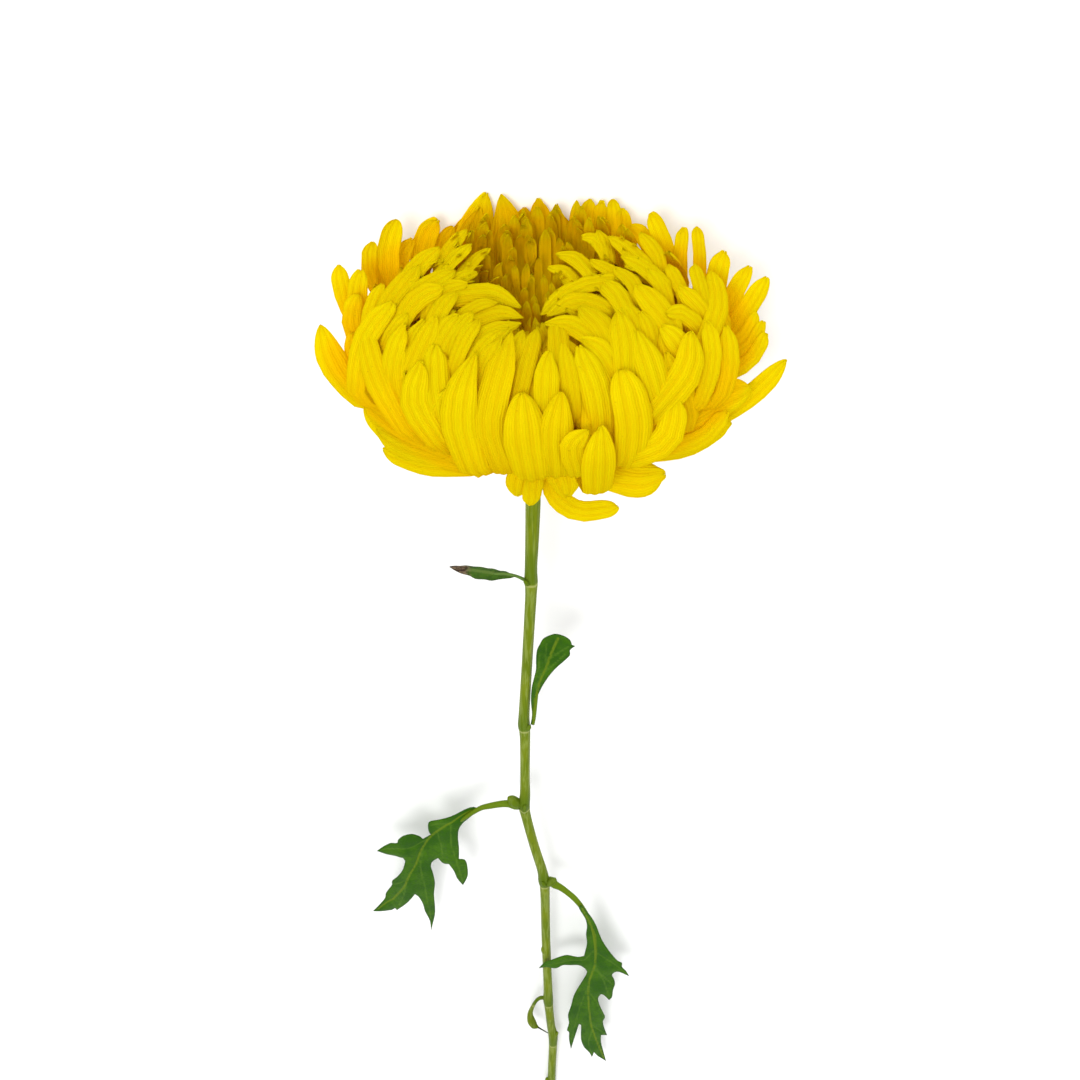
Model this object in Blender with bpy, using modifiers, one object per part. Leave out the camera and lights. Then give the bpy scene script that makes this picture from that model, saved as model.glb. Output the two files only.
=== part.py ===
"""Disbud chrysanthemum, one cut bloom on its stem, lying on a table.

Lengths are millimetres and angles degrees until a mesh is made. The flower has its own
directions: UP runs along the stem towards the bloom, FAR points down to the table behind
the bloom, RIGHT is the world's X. The head nods by a few degrees, so its petals use HEAD_UP
and HEAD_FAR. A turn of 0 is the near side, which faces away from the table, 90 is the right.
What the photograph shows is placed by its pixels, of 1080 x 1080, each of which gives a
sight line from the photograph's camera.
"""
import math
import random

import bmesh
import bpy
import numpy as np
from mathutils import Matrix, Vector
from mathutils.bvhtree import BVHTree
from mathutils.geometry import delaunay_2d_cdt

MM = 0.001

# Driving sizes
BLOOM_HEIGHT = 45.4
STEM_LENGTH = 410.0
STEM_END_HEIGHT = 1.75
STEM_END_RIGHT = 5.4
HEAD_NOD = 8.0
GAP = 0.35
TWIN_SHIFT = 0.01
FLORETS = 290
FLORETS_SKIPPED = 26
PETAL_THICKNESS = 1.3
LEAF_THICKNESS = 0.9
DRY_THICKNESS = 1.0
STALK_FOOT = 0.8
CUP = 0.14
BRACT_THICKNESS = 1.3
TABLE = (0.6, 1.0, 0.03)
ORIGIN = Vector((1.2, -190.46, 0.0))

SLOPE = math.asin((BLOOM_HEIGHT - STEM_END_HEIGHT) / STEM_LENGTH)
CENTRE = Vector((0.0, 0.0, BLOOM_HEIGHT))
RIGHT = Vector((1.0, 0.0, 0.0))
UP = Vector((0.0, math.cos(SLOPE), math.sin(SLOPE)))
FAR = Vector((0.0, math.sin(SLOPE), -math.cos(SLOPE)))
NOD = math.radians(HEAD_NOD)
HEAD_UP = UP * math.cos(NOD) - FAR * math.sin(NOD)
HEAD_FAR = FAR * math.cos(NOD) + UP * math.sin(NOD)

# The photograph's camera
PHOTO_SIZE = 1080
EYE_DISTANCE = 380.0
EYE_ELEVATION = 31.0
MM_PER_PIXEL = 0.28
BLOOM_PIXEL = 338
LINE_POINTS = 60

# Colours and finishes
LOOKS = {
    "petal_yellow": ((0.87, 0.68, 0.02), 0.55),
    "calyx_green": ((0.16, 0.27, 0.06), 0.6),
    "stem_green": ((0.19, 0.27, 0.06), 0.55),
    "leaf_green": ((0.07, 0.17, 0.03), 0.6),
    "dry_leaf": ((0.14, 0.10, 0.03), 0.8),
}

# Where the tips of the rule's florets lie, from the outermost (0) to the innermost (1)
TIP_OUT = {
    "near": [(0, 38), (0.13, 34), (0.3, 24), (0.5, 15), (0.75, 8), (1, 2.5)],
    "side": [(0, 57), (0.12, 52), (0.25, 41), (0.4, 29), (0.6, 17), (0.8, 8), (1, 2.5)],
    "far": [(0, 55), (0.25, 49), (0.5, 42), (0.75, 30), (0.88, 15), (1, 3)],
}
TIP_UP = {
    "near": [(0, 0), (0.13, 6.5), (0.3, 11), (0.5, 11.5), (0.75, 9.5), (1, 8.5)],
    "side": [(0, 3), (0.12, 9.5), (0.25, 14.5), (0.4, 15.5), (0.6, 13), (0.8, 10), (1, 8.5)],
    "far": [(0, 3), (0.1, 9), (0.25, 14), (0.5, 15), (0.75, 12), (0.88, 9.5), (1, 8.5)],
}
LEAN = {
    "near": [(0, 115), (0.13, 130), (0.3, 156), (0.5, 168), (0.8, 165), (1, 105)],
    "side": [(0, 68), (0.12, 85), (0.25, 128), (0.4, 155), (0.6, 168), (0.8, 160), (1, 105)],
    "far": [(0, 70), (0.25, 88), (0.5, 104), (0.75, 125), (1, 105)],
}
REACH_ROOT = [(0, 34), (0.25, 29), (0.5, 22), (0.75, 14), (1, 5)]
REACH_TIP = [(0, 24), (0.25, 25), (0.5, 21), (0.75, 14), (1, 6)]
WIDTH = [(0, 12), (0.3, 10), (0.5, 8.0), (0.7, 6.0), (0.85, 4.5), (1, 3)]

# Skin of the bloom: radius of its rim, and the heights of its top and underside over the share of
# that radius, on its near, side and far sides
RIM = {"near": [(0, 44)], "side": [(0, 63)], "far": [(0, 56)]}
SKIN_TOP = {
    "near": [(0, 7.5), (0.12, 10), (0.3, 13.5), (0.5, 14), (0.68, 11), (0.84, 4), (0.94, -4), (1, -12)],
    "side": [(0, 7.5), (0.12, 10.5), (0.3, 15), (0.5, 17.5), (0.68, 17), (0.82, 13), (0.93, 7), (1, 0)],
    "far": [(0, 7.5), (0.1, 7), (0.3, 8.5), (0.6, 12), (0.85, 15), (1, 12)],
}
SKIN_UNDER = {
    "near": [(0, -23), (0.7, -23), (0.88, -22), (0.96, -19), (1, -12)],
    "side": [(0, -23), (0.75, -19), (0.88, -14), (0.96, -8), (1, 0)],
    "far": [(0, -23), (0.75, -18), (0.9, -10), (0.98, 0), (1, 12)],
}
ROUNDNESS = (63.0, 50.0, 22.0, -3.0)
BASE_DEPTH = 2.4
TIP_RISE = 1.0
SKIN_FACING = 0.4
FREE_FACING = 0.8
INNER_FACE_BEYOND = -15
ROOT_HANDLE = 0.5
BASE_HANDLE = 0.2

# Outermost row: how many, their width, reach as a share of the rim, depth within the skin, height
# over the table at least
UNDER_PETALS = 26
UNDER_WIDTH = 11.5
UNDER_REACH = (0.76, 0.84)
UNDER_DEPTH = 1.7
UNDER_CLEAR = 0.5
UNDER_LAYER = 0.1

# Of the rule's petals every second is built, and of those further in than this layer, and not on the
# far wall of the bowl, every fourth
INNER_LAYER = 0.3
FAR_WALL = -8.0

# Petals that lie on the skin, read by eye from the photograph: pixels of their middle line from
# where it shows first to the tip, width in pixels, bluntness of the tip, lift over the skin
SKIN_PETALS = [
    ([(530, 474), (524, 440), (522, 394)], 41, 0.85, 3.2),
    ([(557, 470), (555, 435), (561, 392)], 34, 0.6, 2.6),
    ([(578, 470), (573, 448), (588, 431)], 26, 0.6, 3.4),
    ([(598, 492), (600, 462), (601, 428)], 33, 0.7, 4.2),
    ([(632, 458), (634, 420), (623, 370)], 38, 1.0, 2.6),
    ([(499, 466), (487, 425), (499, 372), (512, 328)], 31, 0.1, 1.6),
    ([(470, 468), (457, 425), (462, 385), (475, 350)], 36, 0.35, 2.2),
    ([(434, 440), (412, 402), (421, 361)], 30, 0.6, 1.2),
    ([(446, 436), (436, 392), (434, 344)], 27, 0.7, 0.2),
    ([(407, 380), (419, 350), (435, 316)], 25, 0.5, 0.4),
    ([(388, 388), (392, 352), (404, 324)], 22, 0.6, 0.4),
    ([(354, 385), (366, 335), (392, 302)], 26, 0.6, 0.6),
    ([(384, 345), (394, 328), (407, 312)], 16, 0.6, -0.6),
    ([(402, 428), (377, 382), (362, 327)], 27, 0.6, 0.0),
    ([(398, 296), (417, 263), (439, 246)], 24, 0.5, 0.4),
    ([(386, 306), (401, 284), (418, 263)], 24, 0.5, 0.8),
    ([(408, 298), (431, 281), (455, 267)], 22, 0.5, 0.2),
    ([(402, 318), (419, 295), (443, 286)], 23, 0.8, 1.0),
    ([(431, 328), (441, 306), (456, 289)], 21, 0.5, 0.4),
    ([(430, 300), (451, 286), (468, 283)], 20, 0.5, -0.2),
    ([(440, 274), (456, 255), (471, 242)], 20, 0.5, -0.2),
    ([(458, 278), (474, 259), (489, 246)], 17, 0.4, -0.8),
    ([(444, 290), (462, 275), (478, 271)], 18, 0.5, -0.6),
    ([(452, 296), (490, 292), (521, 307)], 27, 0.15, -0.6),
    ([(462, 314), (482, 303), (498, 302)], 16, 0.4, 0.4),
    ([(462, 326), (497, 311), (524, 317)], 22, 0.2, -0.2),
    ([(450, 350), (458, 328), (473, 311)], 15, 0.5, 0.4),
    ([(432, 358), (445, 330), (459, 314)], 23, 0.7, 0.6),
    ([(453, 368), (464, 340), (479, 319)], 17, 0.5, 0.4),
    ([(468, 350), (492, 330), (522, 322)], 20, 0.2, -0.4),
    ([(466, 374), (484, 346), (510, 325)], 20, 0.2, 0.0),
    ([(478, 386), (488, 358), (501, 337)], 18, 0.3, 0.6),
    ([(508, 400), (513, 360), (524, 328)], 20, 0.2, -0.8),
    ([(516, 408), (525, 368), (537, 326)], 19, 0.25, 0.4),
    ([(545, 412), (546, 380), (549, 350)], 25, 0.4, 1.0),
    ([(562, 400), (560, 358), (556, 318)], 22, 0.4, -0.2),
    ([(574, 412), (569, 375), (563, 342)], 18, 0.3, 0.4),
    ([(602, 438), (598, 392), (579, 345)], 29, 0.6, 0.6),
    ([(616, 376), (602, 350), (581, 337)], 22, 0.5, 0.2),
    ([(614, 358), (603, 326), (580, 305)], 27, 0.6, 0.4),
    ([(616, 280), (584, 284), (562, 297), (541, 313)], 24, 0.15, 0.0),
    ([(606, 308), (578, 300), (547, 314)], 24, 0.2, 0.2),
    ([(594, 338), (568, 322), (544, 323)], 24, 0.2, 0.0),
    ([(630, 318), (618, 293), (603, 279)], 24, 0.8, 0.2),
    ([(626, 376), (625, 342), (618, 309)], 28, 0.4, 1.2),
    ([(660, 402), (650, 364), (637, 328)], 31, 0.6, 1.0),
    ([(656, 412), (688, 370), (692, 330)], 31, 0.75, 1.6),
    ([(704, 396), (713, 356), (708, 321)], 19, 0.7, 0.6),
    ([(672, 326), (653, 300), (637, 282)], 27, 0.8, 0.6),
    ([(700, 326), (684, 312), (667, 313)], 20, 0.6, 0.2),
    ([(704, 312), (691, 297), (679, 285)], 20, 0.6, 0.4),
    ([(686, 354), (675, 336), (662, 325)], 24, 0.6, 0.4),
    ([(706, 310), (701, 284), (695, 263)], 17, 0.7, 0.2),
    ([(706, 340), (719, 303), (713, 270)], 23, 0.7, 0.8),
    ([(646, 266), (628, 247), (609, 235)], 22, 0.6, 0.0),
    ([(664, 284), (643, 264), (622, 255)], 22, 0.6, 0.4),
    ([(594, 278), (577, 257), (556, 252)], 22, 0.5, -0.4),
    ([(578, 290), (565, 271), (548, 266)], 19, 0.5, -0.6),
    ([(624, 278), (606, 267), (590, 259)], 17, 0.5, -0.4),
    ([(606, 254), (595, 238), (582, 237)], 18, 0.6, -0.4),
    ([(640, 300), (632, 280), (615, 267)], 17, 0.6, -0.6),
    ([(640, 345), (636, 320), (622, 300)], 20, 0.5, -1.2),
    ([(655, 345), (650, 325), (640, 310)], 20, 0.5, -1.2),
    ([(668, 300), (660, 282), (648, 268)], 16, 0.5, -1.0),
    ([(684, 296), (676, 276), (668, 262)], 16, 0.5, -1.6),
    ([(426, 322), (430, 300), (440, 272)], 16, 0.5, -1.6),
    ([(372, 345), (380, 318), (392, 286)], 20, 0.5, -1.6),
    ([(420, 420), (405, 385), (404, 345)], 26, 0.5, -1.4),
    ([(478, 440), (478, 400), (488, 360)], 22, 0.3, -1.6),
    ([(520, 440), (514, 405), (514, 365)], 22, 0.3, -1.8),
    ([(588, 440), (584, 405), (574, 368)], 20, 0.3, -1.6),
    ([(650, 440), (652, 405), (640, 370)], 26, 0.5, -1.4),
    ([(690, 420), (682, 390), (668, 352)], 26, 0.5, -1.4),
]

# Petals that stand clear of the skin, read likewise: each pixel has its distance near of the
# bloom's axis; then width in pixels and bluntness of the tip
FREE_PETALS = [
    ([(354, 392, 8), (332, 362, 8), (320, 325, 4)], 31, 0.6),
    ([(354, 322, -8), (342, 290, -10), (338, 265, -13)], 20, 0.7),
    ([(366, 335, -4), (356, 300, -6), (360, 270, -10)], 22, 0.8),
    ([(362, 352, 2), (350, 320, 0), (357, 294, -4)], 21, 0.8),
    ([(390, 308, -22), (369, 268, -25), (372, 241, -28)], 19, 0.8),
    ([(392, 300, -24), (386, 255, -28), (396, 219, -34)], 26, 0.8),
    ([(404, 290, -30), (400, 262, -32), (412, 238, -36)], 19, 0.7),
    ([(420, 272, -36), (423, 240, -38), (437, 219, -42)], 25, 0.8),
    ([(440, 264, -38), (444, 242, -40), (452, 226, -43)], 19, 0.7),
    ([(462, 280, -36), (460, 242, -44), (471, 211, -48)], 25, 0.4),
    ([(480, 285, -36), (477, 235, -44), (486, 192, -50)], 34, 0.35),
    ([(505, 285, -36), (509, 235, -44), (503, 193, -50)], 34, 0.35),
    ([(525, 285, -36), (524, 240, -44), (523, 208, -49)], 27, 0.8),
    ([(540, 285, -36), (541, 235, -44), (539, 198, -50)], 23, 0.6),
    ([(560, 285, -36), (562, 245, -42), (562, 217, -48)], 29, 0.9),
    ([(582, 285, -34), (578, 250, -42), (572, 222, -47)], 23, 0.8),
    ([(598, 270, -34), (585, 232, -42), (590, 199, -48)], 20, 0.8),
    ([(606, 270, -34), (600, 232, -42), (602, 200, -47)], 18, 0.8),
    ([(618, 270, -34), (617, 235, -40), (613, 199, -46)], 18, 0.8),
    ([(632, 270, -32), (628, 240, -38), (622, 208, -44)], 17, 0.8),
    ([(656, 264, -30), (647, 240, -34), (631, 226, -38)], 19, 0.9),
    ([(676, 304, -22), (667, 252, -28), (651, 213, -36)], 22, 0.8),
    ([(680, 304, -20), (681, 255, -26), (684, 227, -30)], 16, 0.8),
    ([(698, 304, -20), (700, 255, -26), (697, 226, -30)], 15, 0.9),
    ([(712, 315, -14), (717, 276, -18), (725, 251, -22)], 24, 0.8),
    ([(718, 332, -10), (735, 293, -14), (750, 266, -18)], 20, 0.6),
    ([(722, 348, -6), (748, 308, -10), (767, 277, -14)], 23, 0.6),
    ([(716, 356, 0), (746, 336, -2), (757, 312, -6)], 15, 0.7),
    ([(716, 370, 2), (750, 347, 0), (764, 321, -4)], 15, 0.7),
    ([(712, 382, 4), (750, 362, 3), (767, 334, 0)], 17, 0.7),
    ([(718, 418, 8), (756, 391, 6), (787, 360, 2)], 24, 0.35),
    ([(668, 432, 26), (715, 404, 20), (754, 388, 13)], 36, 0.9),
    ([(645, 455, 36), (700, 440, 28), (727, 411, 22)], 20, 0.8),
    ([(630, 456, 36), (688, 448, 28), (732, 422, 18)], 20, 0.6),
    ([(636, 456, 40), (668, 440, 38), (677, 399, 31)], 29, 0.9),
    ([(460, 460, 36), (412, 448, 28), (374, 430, 18)], 32, 0.8),
    ([(474, 466, 37), (424, 464, 31), (381, 450, 21)], 27, 0.8),
    ([(446, 448, 34), (398, 424, 24), (361, 397, 12)], 28, 0.8),
    ([(432, 434, 32), (386, 404, 20), (359, 370, 9)], 27, 0.8),
    ([(384, 400, 14), (358, 372, 8), (352, 334, 4)], 22, 0.8),
    ([(404, 448, 26), (380, 424, 16), (364, 404, 10)], 24, 0.6),
    ([(598, 474, 30), (636, 482, 34), (664, 470, 34)], 38, 1.0),
    ([(548, 470, 26), (556, 496, 29), (580, 513, 30), (614, 509, 33)], 23, 0.9),
    ([(552, 462, 26), (562, 480, 30), (566, 498, 31)], 32, 0.95),
    ([(530, 462, 26), (520, 478, 30), (516, 500, 31)], 21, 0.95),
    ([(533, 466, 26), (531, 488, 31), (531, 507, 32)], 17, 0.95),
]

# Core that the petals grow from: how deep it lies within the skin, and its flat seat on the calyx
CORE_TOP_DEPTH = 5.5
CORE_UNDER_DEPTH = 3.1
CORE_SIDE_DEPTH = 7.0
CORE_FAR_DEPTH = 14.0
CORE_TURNS = 18
SEAT = (12.5, -23.5)
SEAT_SLOPE_END = 22.0
CALYX_CUP = [(0, -35), (2.5, -35), (3.4, -33.2), (7.4, -30.6), (10.6, -27.4), (11.4, -23.85), (0, -23.85)]

# Rows of bracts: how many, root, bulge and tip as (radius, height), width, first turn
BRACT_ROWS = [
    (11, (4.5, -33.2), (9.6, -32.6), (12.4, -28.4), 5.2, 0.0),
    (12, (7.0, -31.5), (11.6, -30.2), (13.2, -25.0), 5.6, 15.0),
]

# Stem: pixel of its middle, offset far, radius
STEM = [
    (533, 470, 5.4, 2.35), (533, 503, 4.4, 2.3), (532, 541, 2.8, 2.1), (531, 567, 1.6, 1.95),
    (531, 582, 1.1, 2.15), (531, 594, 0.7, 1.85), (528, 647, 0.0, 1.75), (525, 698, 0.0, 1.8),
    (524, 716, 0.0, 1.9), (524, 726, 0.0, 2.1), (525, 737, 0.0, 1.8), (525, 774, 0.0, 1.7),
    (525, 795, 0.0, 1.9), (524, 805, 0.0, 2.15), (526, 816, 0.0, 1.85), (534, 845, 0.3, 1.8),
    (542, 870, 0.6, 1.9), (544, 881, 0.6, 2.2), (545, 892, 0.5, 1.85), (546, 940, 0.0, 1.75),
    (548, 988, -0.5, 1.85), (548, 998, -0.6, 2.15), (549, 1008, -0.5, 1.85), (551, 1025, 0.0, 1.8),
    (553, 1035, 0.0, 2.05), (553, 1045, 0.0, 1.8), (552, 1065, 0.0, 1.75),
]

# Leaves and their stalks: pixels of the blade's edge and of points on its veins; each stalk begins
# at the stem's swelling on the given row of the picture, on its left (-1) or right (1) side
LEAF_1_EDGE = [(-7.0, -0.6), (-12.0, 3.0), (-18.0, 4.4), (-24.0, 3.0), (-29.0, -0.6), (-25.0, -3.6),
               (-18.0, -5.0), (-12.0, -3.8)]
LEAF_1_STALK = (582, -1, 0.8), [(517, 576, 0.2, 0.8), (506, 576, -0.4, 0.75), (493, 574, -0.5, 0.6)]
LEAF_2_EDGE = [
    (531, 724), (533, 705), (535, 690), (536, 675), (534, 660), (537, 647), (545, 640), (557, 635),
    (566, 640), (574, 645), (570, 654), (562, 662), (549, 676), (545, 690), (540, 705), (535, 718),
]
LEAF_2_RIB = [(535, 703), (540, 681), (547, 665), (552, 651)]
LEAF_2_STALK = [(533, 724, -0.9, 0.6), (534, 718, -1.1, 0.7), (535, 709, -1.2, 0.7), (537, 691, -1.1, 0.6)]
LEAF_3_EDGE = [
    (429, 822), (429, 834), (410, 835), (398, 839), (378, 850), (403, 858), (404, 866), (396, 880),
    (385, 894), (374, 911), (396, 910), (415, 893), (422, 902), (430, 931), (435, 913), (434, 886),
    (432, 866), (438, 859), (449, 864), (462, 885), (467, 876), (465, 862), (458, 859), (458, 829),
    (462, 821),
]
LEAF_3_RIB = [
    (446, 825), (437, 831), (429, 838), (421, 850), (416, 864), (410, 874), (404, 887), (393, 899),
    (425, 880), (451, 844),
]
LEAF_3_STALK = (805, -1, 1.0), [(509, 800, -0.4, 0.95), (495, 803, -0.8, 0.85), (479, 809, -1.1, 0.8),
                                (461, 821, -1.3, 0.8), (448, 835, -0.9, 0.6)]
LEAF_4_EDGE = [
    (594, 943), (585, 958), (564, 957), (539, 967), (560, 972), (587, 972), (575, 994), (569, 1025),
    (570, 1048), (580, 1023), (583, 1043), (592, 1058), (605, 1061), (605, 1035), (598, 998), (611, 999),
    (629, 976), (612, 955),
]
LEAF_4_RIB = [
    (595, 965), (589, 981), (588, 994), (589, 1009), (591, 1025), (596, 1039), (570, 962), (612, 968),
    (604, 981), (579, 1009),
]
LEAF_4_STALK = (881, 1, 1.1), [(559, 879, -0.6, 1.0), (575, 894, -2.2, 0.9), (588, 920, -3.4, 0.85),
                               (594, 944, -4.0, 0.85), (594, 964, -4.1, 0.6)]
SHOOT = (998, -1, 0.95), [(535, 1001, -0.8, 1.0), (531, 1009, -1.0, 1.1), (529, 1017, -1.1, 1.5),
                          (532, 1023, -1.3, 1.9), (537, 1027, -1.9, 1.2), (541, 1030, -2.5, 0.6),
                          (547, 1033, -2.9, 0.4)]


def mix(a, b, t):
    return a + (b - a) * t


def outward(turn):
    angle = math.radians(turn)
    return RIGHT * math.sin(angle) - HEAD_FAR * math.cos(angle)


def head_point(right, near, up):
    return CENTRE + RIGHT * right - HEAD_FAR * near + HEAD_UP * up


def plant_point(right, below, far):
    return CENTRE + RIGHT * right - UP * below + FAR * far


def photo_camera():
    """Eye, view direction, up and right of the photograph's camera, and its focal length in pixels."""
    elevation = math.radians(EYE_ELEVATION)
    towards_eye = UP * math.sin(elevation) - FAR * math.cos(elevation)
    eye = CENTRE + towards_eye * EYE_DISTANCE
    above_middle = PHOTO_SIZE / 2 - BLOOM_PIXEL
    tilt = math.atan(above_middle * MM_PER_PIXEL / EYE_DISTANCE)
    for _ in range(30):
        focal = EYE_DISTANCE * math.cos(tilt) / MM_PER_PIXEL
        tilt = math.atan(above_middle / focal)
    pitch = math.atan2(-towards_eye.z, -towards_eye.y) - tilt
    view = Vector((0.0, math.cos(pitch), math.sin(pitch)))
    up = Vector((0.0, -math.sin(pitch), math.cos(pitch)))
    if up.y < 0:
        up = -up
    return eye, view, up, view.cross(up), focal


PHOTO = photo_camera()


def from_photo(x, y, normal, height):
    """Where the sight line of a pixel meets the plane that lies at a height above CENTRE along normal."""
    eye, view, up, right, focal = PHOTO
    ray = view + right * ((x - PHOTO_SIZE / 2) / focal) - up * ((y - PHOTO_SIZE / 2) / focal)
    reach = (height - (eye - CENTRE).dot(normal)) / ray.dot(normal)
    return eye + ray * reach


def unit(v):
    return v / np.maximum(np.linalg.norm(v, axis=-1, keepdims=True), 1e-9)


def soft_step(a, b, t):
    k = np.clip((t - a) / (b - a), 0, 1)
    return k * k * (3 - 2 * k)


def by_side(table, share, c):
    """Blend of the near, side and far curves, for the cosine of the turn."""
    near = np.maximum(c, 0.0) ** 1.5
    far = np.maximum(-c, 0.0) ** 1.5
    value = {side: np.interp(share, *zip(*keys)) for side, keys in table.items()}
    return value["near"] * near + value["far"] * far + value["side"] * (1 - near - far)


def in_head(points):
    """Right, near and up of places given in the plant's millimetres."""
    rel = np.asarray(points, float) - np.array(CENTRE)
    return rel @ np.array(RIGHT), -(rel @ np.array(HEAD_FAR)), rel @ np.array(HEAD_UP)


def outside_skin(points):
    """Distance outside the bloom's skin; negative inside."""
    right, near, up = in_head(points)
    radius = np.hypot(right, near)
    c = near / np.maximum(radius, 0.001)
    rim = by_side(RIM, 0.0, c)
    share = np.minimum(radius / rim, 1.0)
    top, under = by_side(SKIN_TOP, share, c), by_side(SKIN_UNDER, share, c)
    return np.maximum(np.maximum(up - top, under - up), radius - rim)


def on_skin(x, y):
    """Where a pixel's sight line first meets the skin, or passes it closest, and the way to the eye."""
    eye = np.array(PHOTO[0])
    ray = unit(np.array(from_photo(x, y, HEAD_UP, 0.0)) - eye)
    reach = np.arange(270.0, 470.0, 0.25)
    line = eye + ray * reach[:, None]
    gap = outside_skin(line)
    index = np.argmax(gap < 0) if (gap < 0).any() else np.argmin(gap)
    return line[index], -ray


def back_of(place, along):
    """Outward side of a petal that runs along a direction: square to it, and as round as the bloom."""
    right, near, up = in_head(place)
    wide, deep, tall, middle = ROUNDNESS
    sizes = ((right / wide ** 2, RIGHT), (-near / deep ** 2, HEAD_FAR), ((up - middle) / tall ** 2, HEAD_UP))
    normal = unit(sum(size[..., None] * np.array(direction) for size, direction in sizes))
    return unit(normal - along * (normal * along).sum(-1, keepdims=True))


def bezier(points, t):
    """Places along a cubic Bezier of four points."""
    a, b, c, d = [np.array(tuple(p)) for p in points]
    t = np.asarray(t)[:, None]
    s = 1 - t
    return a * s ** 3 + b * 3 * s * s * t + c * 3 * s * t * t + d * t ** 3


def spaced(line, count):
    """A polyline's points again, at even distances."""
    reach = np.concatenate([[0], np.cumsum(np.linalg.norm(np.diff(line, axis=0), axis=1))])
    want = np.linspace(0, reach[-1], count)
    return np.stack([np.interp(want, reach, line[:, k]) for k in range(3)], axis=1)


def rooted(spots):
    """Middle line of a petal through its shown places and down to its root, and the share that is hidden."""
    spots = np.array(spots)
    right, near, up = in_head(spots[0])
    low = float(np.interp(up, [-5, 12], [-21, -13]))
    out = float(np.interp(up, [-5, 12], [11, 6]))
    turn = math.degrees(math.atan2(right, near))
    root = CENTRE + outward(turn) * out + HEAD_UP * low
    reach = np.linalg.norm(np.array(root) - spots[0])
    tangent = Vector(unit(spots[1] - spots[0]))
    base = Vector(spots[0])
    handles = (root + outward(turn) * reach * ROOT_HANDLE, base - tangent * reach * BASE_HANDLE)
    hidden = bezier([root, *handles, base], np.linspace(0, 1, 12))
    rows = [tuple(s) for s in [hidden[-3]] + list(spots)]
    shown = smooth_path(rows, 1.5)
    start = np.argmin(np.linalg.norm(shown - spots[0], axis=1))
    line = np.concatenate([hidden[:-1], shown[start:]])
    reach = np.concatenate([[0], np.cumsum(np.linalg.norm(np.diff(line, axis=0), axis=1))])
    return spaced(line, LINE_POINTS), reach[len(hidden) - 1] / reach[-1]


def rule_petals():
    """Petals in a spiral of golden-angle turns: middle line, width, roll, bluntness and layer."""
    rnd = random.Random(4)
    made = []
    for i in range(FLORETS):
        u = i / (FLORETS - 1)
        turn = (i * 137.508) % 360
        c = math.cos(math.radians(turn))
        fade = 1 - 0.6 * u
        launch = math.radians(mix(-14, 60, u ** 1.2) + rnd.uniform(-5, 5))
        out = float(by_side(TIP_OUT, u, c)) + rnd.uniform(-2.5, 2.5) * fade
        up = float(by_side(TIP_UP, u, c)) + rnd.uniform(-2.5, 2.5) * fade
        lean = math.radians(float(by_side(LEAN, u, c)) + rnd.uniform(-12, 12))
        first, second = np.interp(u, *zip(*REACH_ROOT)), np.interp(u, *zip(*REACH_TIP))
        swing, tip_turn = rnd.uniform(-16, 16), turn + rnd.uniform(-5, 5)
        width = float(np.interp(u, *zip(*WIDTH))) * rnd.uniform(0.88, 1.12)
        roll = rnd.uniform(-20, 20)
        root = CENTRE + outward(turn) * mix(12, 1.5, u) + HEAD_UP * mix(-21, -10, u)
        tip = CENTRE + RIGHT * mix(2.5, -1.5, u) + outward(tip_turn) * out + HEAD_UP * up
        leave = outward(turn) * math.cos(launch) + HEAD_UP * math.sin(launch)
        arrive = outward(tip_turn + swing) * math.cos(lean) + HEAD_UP * math.sin(lean)
        guide = lift_off_table([root, root + leave * first, tip - arrive * second, tip])
        line = spaced(bezier(guide, np.linspace(0, 1, 40)), LINE_POINTS)
        made.append({"line": line, "width": width, "roll": roll, "blunt": 0.7 - 0.4 * u, "layer": u,
                     "hidden": 0.45, "facing": 0.0})
    return made


def lift_off_table(guide):
    """Bring a petal in towards the head until its lowest point is just under the table's level."""
    root = guide[0]
    for _ in range(40):
        if bezier(guide, np.linspace(0.3, 1, 8))[:, 2].min() >= -0.25:
            break
        guide = [root] + [root + (q - root) * 0.985 for q in guide[1:]]
    return guide


def read_petals():
    """Petals read from the photograph, in the same terms as the rule's."""
    made = []
    for pixels, width, blunt, lift in SKIN_PETALS:
        spots = []
        for share, (x, y) in zip(np.linspace(0, 1, len(pixels)), pixels):
            spot, to_eye = on_skin(x, y)
            spots.append(spot + to_eye * (mix(-BASE_DEPTH, TIP_RISE, share) + lift))
        line, hidden = rooted(spots)
        made.append({"line": line, "hidden": hidden, "width": width * MM_PER_PIXEL, "blunt": blunt,
                     "facing": SKIN_FACING})
    for pixels, width, blunt in FREE_PETALS:
        line, hidden = rooted([from_photo(x, y, -HEAD_FAR, near) for x, y, near in pixels])
        facing = -FREE_FACING if pixels[-1][2] < INNER_FACE_BEYOND else FREE_FACING
        made.append({"line": line, "hidden": hidden, "width": width * MM_PER_PIXEL, "blunt": blunt,
                     "facing": facing})
    for row in made:
        row.update({"roll": 0.0, "layer": 0.0})
    return made


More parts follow.
